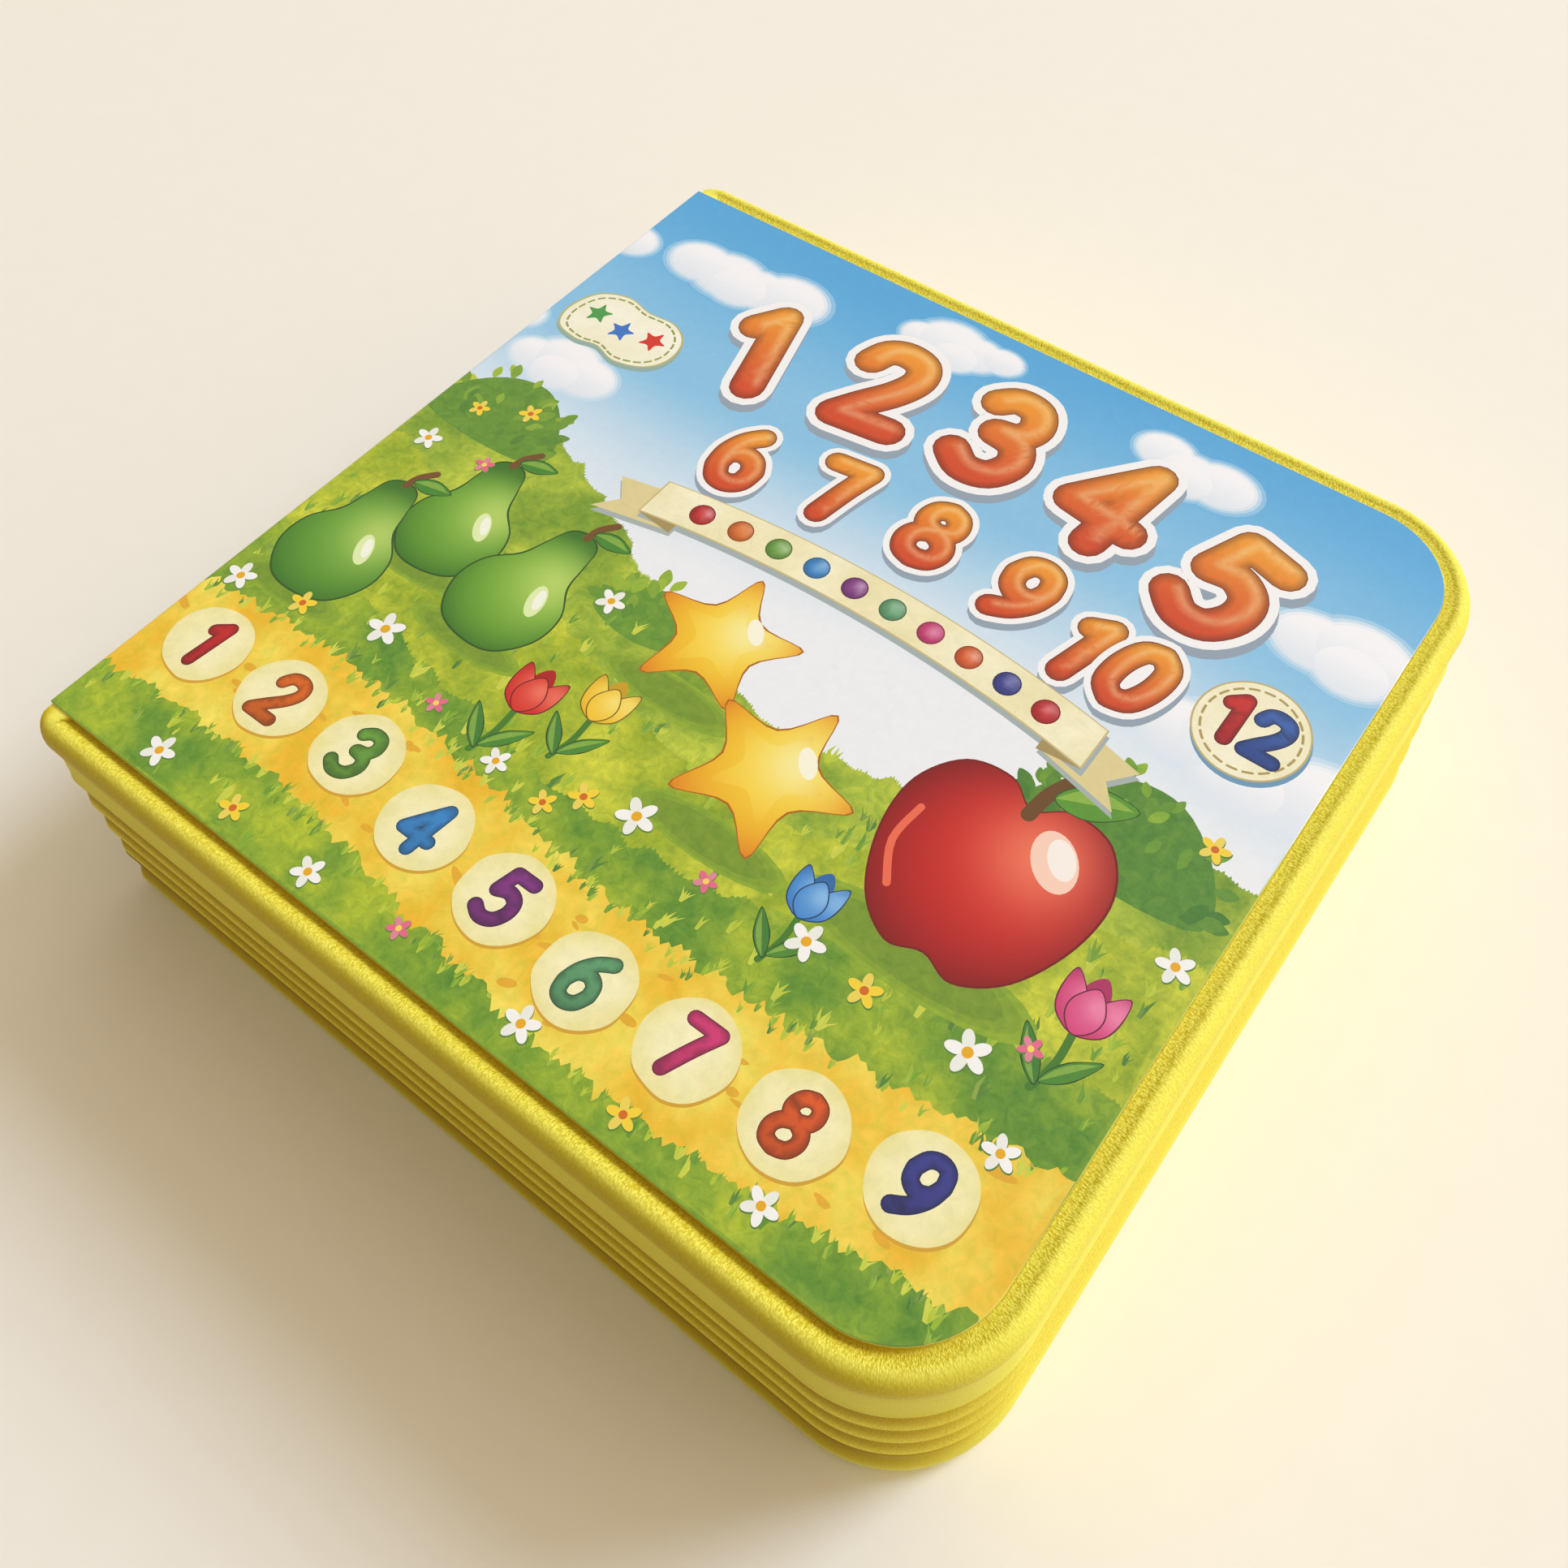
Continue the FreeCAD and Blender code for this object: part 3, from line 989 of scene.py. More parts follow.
def tuft(picture, u, v, size, colour, chance, blades=5):
    """A few blades of grass that fan out of one spot."""
    for index in range(blades):
        lean = math.radians(90 + (index - (blades - 1) / 2) * chance.uniform(12, 20))
        tall = size * chance.uniform(0.7, 1.15)
        bend = chance.uniform(-0.25, 0.25) * tall
        tip = (u + tall * math.cos(lean) + bend, v + tall * math.sin(lean))
        middle = (u + tall * 0.55 * math.cos(lean), v + tall * 0.55 * math.sin(lean))
        foot = size * 0.09
        shape = [
            (u - foot, v), (u + foot, v), (middle[0] + foot * 0.9, middle[1]), tip,
            (middle[0] - foot * 0.9, middle[1]),
        ]
        picture.add(shape, mix(colour, (226, 224, 96), chance.uniform(0, 0.45)), 0.3)


def bush(picture, u, v, wide, tall, chance, dark=(74, 128, 48), light=(150, 188, 54)):
    """A heap of leaves: dark ones low and behind, light ones on top."""
    spots = []
    for _ in range(int(wide * 3.2)):
        x = chance.uniform(-1, 1)
        y = chance.uniform(0, 1) * math.sqrt(max(1 - x * x, 0))
        spots.append((x, y))
    spots.sort(key=lambda spot: -spot[1])
    picture.add(
        curve(
            [
                (u - wide, v), (u - wide * 0.8, v + tall * 0.5), (u - wide * 0.3, v + tall * 0.86),
                (u + wide * 0.3, v + tall * 0.9), (u + wide * 0.85, v + tall * 0.5), (u + wide, v),
                (u, v - 2),
            ],
            5, closed=True,
        ),
        mix(dark, light, 0.2), 0.8,
    )
    for x, y in spots:
        size = chance.uniform(1.6, 2.6)
        tone = mix(dark, light, min(max(y * 0.7 + chance.uniform(-0.2, 0.45), 0), 1))
        angle = 90 + x * -60 + chance.uniform(-40, 40)
        reach = math.radians(angle)
        foot_u, foot_v = u + x * wide, v + y * tall
        tip = np.array((foot_u + size * 1.5 * math.cos(reach), foot_v + size * 1.5 * math.sin(reach)))
        side = np.array((-math.sin(reach), math.cos(reach))) * size * 0.42
        middle = (np.array((foot_u, foot_v)) + tip) / 2
        picture.add(curve([(foot_u, foot_v), middle - side, tip, middle + side], 4, closed=True), tone, 0.5)


print("motifs ready")

# %% [markdown]
# ## The front picture
#
# Sky fades from blue at the head of the book to white in the middle. Two grassy hills cross it, and
# a yellow band along the tail edge carries a row of cream discs with the numbers. Above the hills
# stand arched rows of orange numbers with white borders, a cream ribbon with ten counting dots, a
# round stitched badge and a small cloud sign. Positions are in millimetres from the spine fold (u)
# and from the tail edge of the print (v).

# %% Compose the front picture
PRINT_WIDE = print_high[0] - print_low[0]
PRINT_TALL = print_high[1] - print_low[1]
FLAP = print_high[2] - print_low[2]
PRINT_RADIUS = FORE_RADIUS - RIM


def sheet_outline(start, wide, tall, radius, inset=0.0):
    """A sheet with square corners at its start and round ones at its far end."""
    points = [(start, inset), (wide - radius, inset)]
    turns = np.linspace(-math.pi / 2, 0, 15)[1:]
    points += [
        (wide - radius + (radius - inset) * math.cos(a), radius + (radius - inset) * math.sin(a))
        for a in turns
    ]
    turns = np.linspace(0, math.pi / 2, 15)
    points += [
        (wide - radius + (radius - inset) * math.cos(a), tall - radius + (radius - inset) * math.sin(a))
        for a in turns
    ]
    points += [(start, tall - inset)]
    return points


def sky(spots):
    """Blue at the head, nearly white at mid height, with faint drifting haze."""
    u, v = spots[:, 0], spots[:, 1]
    level = v + 3.5 * np.sin(u / 31 + 0.6) + 2.0 * blotches(spots, 26, 3.1)
    colour = mix((243, 246, 247), (206, 229, 243), (level - 76) / 16)
    colour = mix_rows(colour, (140, 199, 233), (level - 88) / 22)
    return mix_rows(colour, (88, 172, 224), (level - 112) / 36)


def mix_rows(colour, target, share):
    share = np.clip(share, 0, 1)
    share = share * share * (3 - 2 * share)
    return colour + (np.array(target, float) - colour) * share[:, None]


def cloud(picture, u, v, size, puffs, chance):
    """A soft white cloud made of round puffs."""
    rounds = []
    for index in range(puffs):
        x = (index - (puffs - 1) / 2) * size * 0.55
        rounds.append(
            (
                u + x, v + chance.uniform(-0.1, 0.2) * size,
                size * chance.uniform(0.42, 0.62) * (1.12 - abs(x) / (size * puffs * 0.42) * 0.45),
            )
        )
    rounds.append((u, v - size * 0.2, size * 0.45))
    for grow, share in ((1.22, 0.3), (1.1, 0.62), (1.0, 0.9), (0.9, 1.0)):
        for x, y, radius in rounds:
            def paint(spots, share=share, y=y, radius=radius):
                white = mix((232, 240, 246), (252, 252, 252), (spots[:, 1] - y) / radius + 0.6)
                return sky(spots) + (white - sky(spots)) * share
            picture.add(oval(x, y, radius * grow * 1.15, radius * grow * 0.86, 0, 22), paint, 0.05)


def hill(picture, line, bottom, base, light, seed, chance, blade, grain=1.0):
    """Grass below a line, with blades along its crest and slow light and dark patches."""
    rough = [(u, v + chance.uniform(-0.35, 0.5) * blade) for u, v in curve(line, 12)]
    crest = curve(rough, 4)
    edge = []
    for (au, av), (bu, bv) in zip(crest, crest[1:]):
        lean, tall = chance.uniform(-0.1, 0.15), chance.uniform(0.05, 0.3) * blade
        edge.append((au, av))
        edge.append(((au + bu) / 2 + lean, (av + bv) / 2 + tall))
    edge.append(tuple(crest[-1]))

    def paint(spots):
        patch = 0.5 + 0.9 * blotches(spots, 13, seed) + 0.5 * blotches(spots, 4.5, seed + 5)
        return mix(base, light, patch)

    picture.add([(crest[0][0], bottom)] + [(crest[-1][0], bottom)] + edge[::-1], paint, grain)


front_outline = sheet_outline(-FLAP, PRINT_WIDE, PRINT_TALL, PRINT_RADIUS, 0.12)
front_outline[0] = (-FLAP, 0.12)
front_picture = Picture(front_outline, sky)
chance = random.Random(7)
for u, v, size, puffs in (
    (-6, 128, 10, 3), (24, 132, 12, 4), (66, 139, 9, 4), (112, 137, 10, 3), (150, 118, 12, 3),
    (12, 96, 10, 3), (146, 92, 13, 4), (-8, 102, 8, 3),
):
    cloud(front_picture, u, v, size, puffs, chance)

hill(
    front_picture,
    [(-20, 80), (0, 84), (22, 83), (44, 74), (64, 64), (90, 58), (112, 63), (134, 73), (160, 76)], -2,
    (126, 160, 46), (188, 204, 66), 1.0, chance, 2.2,
)
bush(front_picture, 137, 66, 15, 17, chance)
bush(front_picture, 12, 76, 13, 15, chance, (84, 134, 46), (176, 200, 62))
bush(front_picture, 60, 60, 8, 9, chance, (92, 142, 48), (170, 196, 60))
hill(
    front_picture, [(-20, 66), (0, 68), (20, 62), (48, 55), (78, 47), (104, 48), (130, 57), (160, 62)], -2,
    (144, 170, 38), (206, 212, 62), 7.0, chance, 2.0,
)
hill(
    front_picture, [(-20, 44), (10, 43), (44, 36), (84, 32), (120, 38), (160, 40)], -2, (98, 146, 46),
    (176, 194, 50), 13.0, chance, 2.4,
)

TUFTS = 420
for _ in range(TUFTS):
    u, v = chance.uniform(-13, 154), chance.uniform(1, 62)
    if v > 60 - abs(u - 90) * 0.02:
        continue
    tuft(
        front_picture, u, v, chance.uniform(1.6, 3.6), chance.choice(GREENS), chance,
        chance.choice((2, 3, 3, 4)),
    )
print("sky, hills and", TUFTS, "tufts laid down")

# %% [markdown]
# The number band comes next. Its edges are ragged because the printed grass grows over them, and a
# few darker patches make the yellow look like sand. The cream discs are slightly uneven, as if
# painted by hand.

# %% The number band
def band_middle(u):
    """Height of the middle of the yellow band."""
    return 17.5 + 3.2 * math.sin(u / 24 + 0.5)


upper = [(u, band_middle(u) + 9.6 + 0.8 * math.sin(u * 0.9)) for u in range(-20, 165, 3)]
lower = [(u, band_middle(u) - 9.6 + 0.8 * math.sin(u * 0.7 + 1)) for u in range(-20, 165, 3)]


def sand(spots):
    patch = 0.5 + 0.9 * blotches(spots, 8, 21.0) + 0.35 * blotches(spots, 2.2, 25.0)
    return mix((240, 190, 44), (246, 230, 96), patch)


ragged = []
for line, direction in ((lower, 1), (upper[::-1], -1)):
    for (au, av), (bu, bv) in zip(line, line[1:]):
        for part in range(4):
            share = part / 4
            ragged.append(
                (
                    au + (bu - au) * share,
                    av + (bv - av) * share + direction * chance.uniform(-1.1, 0.5) * (part % 2) * 1.2,
                )
            )
front_picture.add(ragged, sand, 0.7)
for _ in range(190):
    u = chance.uniform(-13, 154)
    side = chance.choice((-1, 1))
    v = band_middle(u) + side * chance.uniform(8.2, 10.4) - (1.2 if side > 0 else 2.0)
    tuft(front_picture, u, v, chance.uniform(1.4, 2.6), chance.choice(GREENS), chance, 3)
for _ in range(60):
    u = chance.uniform(-13, 154)
    v = band_middle(u) + chance.uniform(-7.5, 7.5)
    front_picture.add(
        oval(u, v, chance.uniform(0.8, 2.4), chance.uniform(0.3, 0.7), chance.uniform(-30, 30), 10),
        (232, 178, 50), 0.5,
    )

FIGURE_COLOURS = (
    (200, 35, 38), (226, 108, 32), (108, 164, 62), (58, 140, 208), (132, 52, 132), (98, 164, 112),
    (214, 58, 118), (228, 92, 36), (58, 62, 142),
)
DISC = 6.7
for index, colour in enumerate(FIGURE_COLOURS):
    u = 10.5 + index * 16.4
    v = band_middle(u) + 0.4 * (-1) ** index
    wobble = [
        (
            u + (DISC + chance.uniform(-0.18, 0.18)) * math.cos(a) * 1.04,
            v + (DISC + chance.uniform(-0.18, 0.18)) * math.sin(a),
        )
        for a in np.linspace(0, 2 * math.pi, 14, endpoint=False)
    ]
    front_picture.add(curve([(x + 0.25, y - 0.4) for x, y in wobble], 4, closed=True), (214, 166, 52), 0.3)
    front_picture.add(
        curve(wobble, 4, closed=True),
        lambda spots, u=u, v=v: mix(
            (252, 247, 196), (240, 230, 150),
            np.hypot(spots[:, 0] - u, spots[:, 1] - v) / DISC - 0.35 + 0.35 * blotches(spots, 3, u),
        ),
        0.35,
    )
    front_picture.digit(str(index + 1), u, v, 7.4, 0.95, darker(colour, 0.88), colour, slant=0.12)
print(len(FIGURE_COLOURS), "numbered discs")

# %% [markdown]
# Now the counting motifs, from the back of the garden to the front, so the nearer ones overlap the
# farther ones. Red, yellow and green keep the three counts apart.

# %% Fruit, stars and flowers
pear(front_picture, 24, 60, 11, 8)
pear(front_picture, 41, 55, 11.5, -6, (122, 176, 56))
pear(front_picture, 12, 46, 11.5, 4, (102, 160, 50))
garden_star(front_picture, 72, 66, 12.5, 8)
garden_star(front_picture, 92, 52, 13.5, -10)
apple(front_picture, 125, 57, 16)
for u, v, size, colour, light in (
    (56, 42, 6.2, (212, 40, 36), (250, 140, 110)), (66, 47, 5.8, (246, 196, 40), (255, 240, 140)),
    (109, 40, 5.6, (58, 130, 205), (160, 208, 244)), (146, 48, 6.4, (214, 60, 118), (250, 160, 190)),
):
    tulip(front_picture, u, v, size, colour, light)
for u, v, size in (
    (4, 32, 2.6), (30, 38, 3.0), (60, 31, 2.2), (82, 36, 3.0), (112, 35, 2.8), (137, 35, 3.0),
    (152, 60, 2.6), (54, 62, 2.4), (6, 70, 2.4), (20, 4, 2.6), (52, 3.5, 2.4), (90, 5, 2.6),
    (128, 5.5, 2.4), (-8, 30, 2.6), (147, 27, 2.4),
):
    daisy(front_picture, u, v, size, turn=chance.uniform(0, 72))
for u, v, size in (
    (16, 34, 2.2), (74, 34, 2.2), (122, 34, 2.4), (36, 4, 2.2), (108, 4, 2.2), (16, 84, 2.0), (8, 80, 1.8),
    (148, 78, 2.2), (70, 30, 2.0),
):
    daisy(front_picture, u, v, size, (250, 216, 58), (212, 110, 30), 5, chance.uniform(0, 72))
for u, v in ((46, 33), (96, 34), (68, 5), (143, 40), (18, 71)):
    daisy(front_picture, u, v, 1.7, (232, 110, 140), (250, 220, 90), 5, chance.uniform(0, 72))
print("fruit, stars and flowers placed")

# %% [markdown]
# The rows of large numbers sit on gentle arches. Each has a grey-blue cast shadow, a thick white
# border, a dark rim and an orange fill that deepens downwards, with a soft highlight.

# %% Rows of numbers, ribbon and badge
def arch_row(figures, middle_u, base_v, step, tall, half, arch, border):
    count = len(figures)
    for index, figure in enumerate(figures):
        x = (index - (count - 1) / 2) / max((count - 1) / 2, 1)
        u = middle_u + x * step * (count - 1) / 2
        v = base_v + arch * (1 - x * x)
        turn = -math.degrees(math.atan(2 * arch * x / (step * (count - 1) / 2)))
        parts = [figure] if len(figure) == 1 else list(figure)
        for place, part in enumerate(parts):
            shift = (place - (len(parts) - 1) / 2) * tall * 0.8
            front_picture.digit(
                part, u + shift, v, tall, half, (214, 76, 34), (243, 156, 44), turn=turn, border=border,
                gloss=True,
            )


arch_row(["1", "2", "3", "4", "5"], 83, 119, 22.5, 18, 3.0, 6.5, 1.65)
arch_row(["6", "7", "8", "9", "10"], 86, 96.6, 17.5, 11.2, 1.95, 5.0, 1.2)


def ribbon_line(u):
    return 81.6 + 4.2 * (1 - ((u - 86) / 44) ** 2)


def ribbon_part(start, end, low, high, steps=24):
    us = np.linspace(start, end, steps)
    return [(u, ribbon_line(u) + low) for u in us] + [(u, ribbon_line(u) + high) for u in us[::-1]]


for start, end, notch in ((38, 52, 1), (134, 120, -1)):
    tail = [
        (end, ribbon_line(end) - 5.4), (start, ribbon_line(start) - 6.0),
        (start + notch * 3.2, ribbon_line(start) - 2.2), (start, ribbon_line(start) + 1.6),
        (end, ribbon_line(end) + 2.2),
    ]
    front_picture.add(np.array(tail) + (0.5, -0.9), (170, 182, 176), 0)
    front_picture.add(tail, (226, 212, 150), 0.2)
front_picture.add(np.array(ribbon_part(45, 127, -3.9, 3.9)) + (0.6, -1.0), (166, 180, 178), 0)
front_picture.add(ribbon_part(45, 127, -3.9, 3.9), (206, 190, 130), 0.1)
front_picture.add(
    ribbon_part(45.3, 126.7, -3.6, 3.7), paper((240, 230, 176), (252, 247, 210), 9, 31.0), 0.3,
)
for start, end, low in ((45, 52, -3.9), (127, 120, -3.9)):
    front_picture.add(
        [
            (start, ribbon_line(start) + low), (end, ribbon_line(end) + low),
            (end, ribbon_line(end) + low - 1.9),
        ],
        (168, 148, 92), 0,
    )
for index in range(10):
    u = 54 + index * 7.1
    colour = FIGURE_COLOURS[index % len(FIGURE_COLOURS)]
    bead(front_picture, u, ribbon_line(u), (2.15, 1.95, 2.0), colour, darker(colour, 0.66), 20)


def stitches(picture, path, length=1.3, gap=0.9, colour=(176, 158, 92)):
    """A dashed line of thread along a closed path."""
    path = np.vstack([path, path[:1]])
    legs = np.hypot(*np.diff(path, axis=0).T)
    total = legs.sum()
    marks = np.concatenate([[0], np.cumsum(legs)])
    count = int(total / (length + gap))
    for index in range(count):
        places = np.linspace(index, index + length / (length + gap), 4) * total / count
        dash = np.stack([np.interp(places, marks, path[:, 0]), np.interp(places, marks, path[:, 1])], 1)
        picture.add(thick_line(dash, 0.2), colour, 0)


badge_u, badge_v, badge = 143.0, 98.0, 8.6
front_picture.add(oval(badge_u + 0.4, badge_v - 0.8, badge, badge, 0, 48), (110, 156, 188), 0)
front_picture.add(oval(badge_u, badge_v, badge, badge, 0, 48), (196, 180, 118), 0)
front_picture.add(
    oval(badge_u, badge_v, badge - 0.3, badge - 0.3, 0, 48),
    paper((244, 236, 188), (253, 249, 222), 7, 41.0), 0.25,
)
stitches(front_picture, oval(badge_u, badge_v, badge - 1.4, badge - 1.4, 0, 64))
front_picture.digit("1", badge_u - 3.0, badge_v + 0.4, 7.6, 1.15, (172, 26, 30), (208, 44, 40))
front_picture.digit("2", badge_u + 2.6, badge_v + 0.4, 7.6, 1.15, (40, 70, 140), (58, 100, 176))

sign = curve(
    [
        (2.5, 108), (4, 103.5), (9, 102.2), (13.5, 103), (18.5, 101.8), (24, 103.6), (26.5, 107.5),
        (25.6, 112.4), (21.5, 115.2), (15.5, 115), (10, 116), (4.6, 113.6),
    ],
    8, closed=True,
)
front_picture.add(sign + (0.5, -0.9), (150, 178, 170), 0)
front_picture.add(sign, (188, 186, 120), 0)
middle = sign.mean(axis=0)
front_picture.add(middle + (sign - middle) * 0.965, paper((246, 242, 206), (254, 252, 232), 6, 51.0), 0.2)
stitches(front_picture, middle + (sign - middle) * 0.86, 1.1, 0.8, (150, 160, 84))
for index, (colour, points) in enumerate((((76, 158, 74), 5), ((58, 120, 200), 5), ((214, 52, 40), 5))):
    front_picture.add(
        star(8.3 + index * 6.3, 109 + 0.6 * (-1) ** index, 2.5, 12 - 12 * index, points), colour, 0.05,
    )
print(len(front_picture.shapes), "shapes in the front picture")

# %% [markdown]
# ## Cutting and folding the sheets
#
# A picture becomes a sheet in three steps: every outline is cut into one triangulation, each
# triangle is coloured by the topmost shape that holds it, and the flat result is bent over the spine
# edge. A thin strip round the rim gives the sheet its real thickness. It is the colour of bare paper,
# because a cut shows the white core.


# %% Make a printed sheet
BARE_PAPER = (250, 246, 232)
RIM_REACH = 0.12


def printed_sheet(name, picture, place, folds=(), spacing=1.25, bare_edge=None, seed=3):
    """Cuts a picture into triangles and bends it with place(u, v, depth), all in mm."""
    chance = random.Random(seed)
    outline = picture.shapes[0][0]
    low, high = outline.min(axis=0), outline.max(axis=0)
    spots, loops, edges = [], [], []
    for shape, _, _ in picture.shapes:
        area = np.sum(shape[:, 0] * np.roll(shape[:, 1], -1) - shape[:, 1] * np.roll(shape[:, 0], -1))
        ordered = shape if area > 0 else shape[::-1]
        loops.append(list(range(len(spots), len(spots) + len(ordered))))
        spots.extend(map(tuple, ordered))
    for fold in folds:
        edges.append((len(spots), len(spots) + 1))
        spots += [(fold, low[1] - 1), (fold, high[1] + 1)]
    across = int((high[0] - low[0]) / spacing)
    up = int((high[1] - low[1]) / spacing)
    for row in range(up):
        for column in range(across):
            spots.append(
                (
                    low[0] + (column + 0.5 + chance.uniform(-0.25, 0.25)) * spacing,
                    low[1] + (row + 0.5 + chance.uniform(-0.25, 0.25)) * spacing,
                )
            )
    spots += picture.extra
    flat, _, faces, _, _, owners = delaunay_2d_cdt(
        [Vector(spot) for spot in spots], edges, loops, 1, 1e-4, True,
    )
    kept, tops = [], []
    for face, owner in zip(faces, owners):
        if 0 in owner and len(face) == 3:
            kept.append(face)
            tops.append(max(owner))
    flat = np.array([(spot.x, spot.y) for spot in flat])
    used = sorted({index for face in kept for index in face})
    number = {old: new for new, old in enumerate(used)}
    flat = flat[used]
    kept = [tuple(number[index] for index in face) for face in kept]
    tops = np.array(tops)
    corners = flat[np.array(kept).reshape(-1)]
    top_of_corner = np.repeat(tops, 3)
    ink = np.zeros((len(corners), 3))
    grain = np.zeros(len(corners))
    for top in np.unique(tops):
        here = top_of_corner == top
        _, colour, rough = picture.shapes[top]
        ink[here] = colour(corners[here]) if callable(colour) else np.array(colour, float)
        grain[here] = rough
    sides = {(a, b): True for face in kept for a, b in zip(face, face[1:] + face[:1])}
    rim = [(a, b) for a, b in sides if (b, a) not in sides]
    vertices = [place(u, v, 0.0) for u, v in flat]
    strip, strip_ink = [], []
    outward = {}
    for a, b in rim:
        along_edge = flat[b] - flat[a]
        away = np.array((along_edge[1], -along_edge[0]))
        away /= max(np.hypot(*away), 1e-9)
        for index in (a, b):
            outward[index] = outward.get(index, np.zeros(2)) + away
    ring = {}
    for index, away in outward.items():
        away /= max(np.hypot(*away), 1e-9)
        u, v = flat[index] + away * RIM_REACH
        ring[index] = (len(vertices), len(vertices) + 1, len(vertices) + 2)
        vertices.append(place(*flat[index], 0.0))
        vertices.append(place(u, v, 0.07))
        vertices.append(place(u, v, PAPER - 0.02))
    corner_ink = {}
    for face_index, face in enumerate(kept):
        for corner, index in enumerate(face):
            corner_ink[index] = ink[face_index * 3 + corner]
    for a, b in rim:
        if bare_edge and not bare_edge(*((flat[a] + flat[b]) / 2)):
            continue
        strip.append((ring[b][0], ring[a][0], ring[a][1], ring[b][1]))
        strip_ink.append([corner_ink[b], corner_ink[a], corner_ink[a], corner_ink[b]])
        strip.append((ring[b][1], ring[a][1], ring[a][2], ring[b][2]))
        strip_ink.append([BARE_PAPER] * 4)
    mesh = bpy.data.meshes.new(name)
    mesh.from_pydata([(x * MM, y * MM, z * MM) for x, y, z in vertices], [], kept + strip)
    every_ink = np.concatenate([ink, np.array(strip_ink, float).reshape(-1, 3)]) if strip else ink
    every_grain = np.concatenate([grain, np.zeros(4 * len(strip))])
    share = np.clip(every_ink / 255, 0, 1)
    linear = np.where(share <= 0.04045, share / 12.92, ((share + 0.055) / 1.055) ** 2.4)
    colours = np.concatenate([linear, np.ones((len(linear), 1))], 1)
    mesh.color_attributes.new("ink", "FLOAT_COLOR", "CORNER").data.foreach_set("color", colours.reshape(-1))
    mesh.attributes.new("grain", "FLOAT", "CORNER").data.foreach_set("value", every_grain)
    uv = mesh.uv_layers.new(name="sheet_mm")
    strip_spots = np.array(
        [flat[index] if index < len(flat) else flat[0] for face in strip for index in face], float,
    ).reshape(-1, 2)
    uv.data.foreach_set("uv", np.concatenate([corners, strip_spots]).reshape(-1))
    for polygon in mesh.polygons[: len(kept)]:
        polygon.use_smooth = True
    sheet = add_object(name, mesh)
    print(name, "has", len(mesh.polygons), "faces")
    return sheet


FOLD = 0.3
FOLD_LINES = (-FOLD, -FOLD / 2, 0.0, FOLD / 2, FOLD)
TOP_Z = print_high[2]
OUT_X = print_low[0]
PRINT_TAIL = print_low[1]


def front_place(u, v, depth):
    """Lies flat on the front board, then turns down the spine."""
    y = PRINT_TAIL + v
    if u > FOLD:
        return OUT_X + u, y, TOP_Z - depth
    if u < -FOLD:
        return OUT_X + depth, y, TOP_Z + u
    angle = (u + FOLD) / (2 * FOLD) * math.pi / 2
    reach = FOLD - depth
    return OUT_X + FOLD - reach * math.cos(angle), y, TOP_Z - FOLD + reach * math.sin(angle)


front_print = printed_sheet(
    "front_cover_picture", front_picture, front_place, folds=FOLD_LINES,
    bare_edge=lambda u, v: u > -FLAP + 0.5,
)

# %% [markdown]
# ## The other printed faces
#
# The sheet goes on round the spine and over the back cover, and each inside face has a picture too.
# These pages show a large number beside its count, on the same meadow. The back cover has a cream
# panel with rows of coloured dots, like a counting frame. Every picture is drawn upright for a reader
# who holds that face up, so the faces that look down are laid from the fore edge towards the spine.

# %% Spine and back cover
def meadow(picture, seed, wide, level, tufts):
    """Sky, two hills and tufts on a sheet that is already outlined."""
    chance = random.Random(seed)
    for _ in range(4 if wide > 60 else 0):
        cloud(
            picture, chance.uniform(5, wide), chance.uniform(108, 138), chance.uniform(8, 12),
            chance.choice((3, 4)), chance,
        )
    line = [(u, level + 5 * math.sin(u / 33 + seed)) for u in range(-20, 185, 20)]
    hill(picture, line, -2, (132, 164, 44), (192, 206, 64), seed + 0.5, chance, 2.2)
    line = [(u, level - 24 + 4 * math.sin(u / 27 + seed * 2)) for u in range(-20, 185, 20)]
    hill(picture, line, -2, (104, 150, 46), (180, 198, 54), seed + 3.5, chance, 2.2)
    for _ in range(tufts):
        tuft(
            picture, chance.uniform(0, wide), chance.uniform(2, level - 8), chance.uniform(1.8, 3.4),
            chance.choice(GREENS), chance, 3,
        )
    for _ in range(10):
        daisy(
            picture, chance.uniform(4, wide - 4), chance.uniform(4, level - 12), chance.uniform(2.0, 2.9),
            turn=chance.uniform(0, 72),
        )


BACK_FLAP = BACK_Z
SPINE_WIDE = block_high[2] - block_low[2]
spine_picture = Picture(
    [(0, 0.12), (SPINE_WIDE, 0.12), (SPINE_WIDE, PRINT_TALL - 0.12), (0, PRINT_TALL - 0.12)], sky,
)
meadow(spine_picture, 61, SPINE_WIDE, 62, 30)
for index, colour in enumerate(FIGURE_COLOURS[:5]):
    v = 92 - index * 15
    spine_picture.add(oval(SPINE_WIDE / 2, v, 5.0, 5.0, 0, 36), (214, 196, 120), 0.2)
    spine_picture.add(oval(SPINE_WIDE / 2, v, 4.7, 4.7, 0, 36), (252, 247, 204), 0.3)
    spine_picture.digit(str(5 - index), SPINE_WIDE / 2, v, 5.6, 0.72, darker(colour, 0.88), colour)
spine_print = printed_sheet(
    "spine_picture", spine_picture, lambda u, v, depth: (OUT_X + depth, PRINT_TAIL + v, block_low[2] + u),
    bare_edge=lambda u, v: v < 1 or v > PRINT_TALL - 1, spacing=1.6,
)


def mirrored(outline, wide):
    return [(wide - u, v) for u, v in outline]


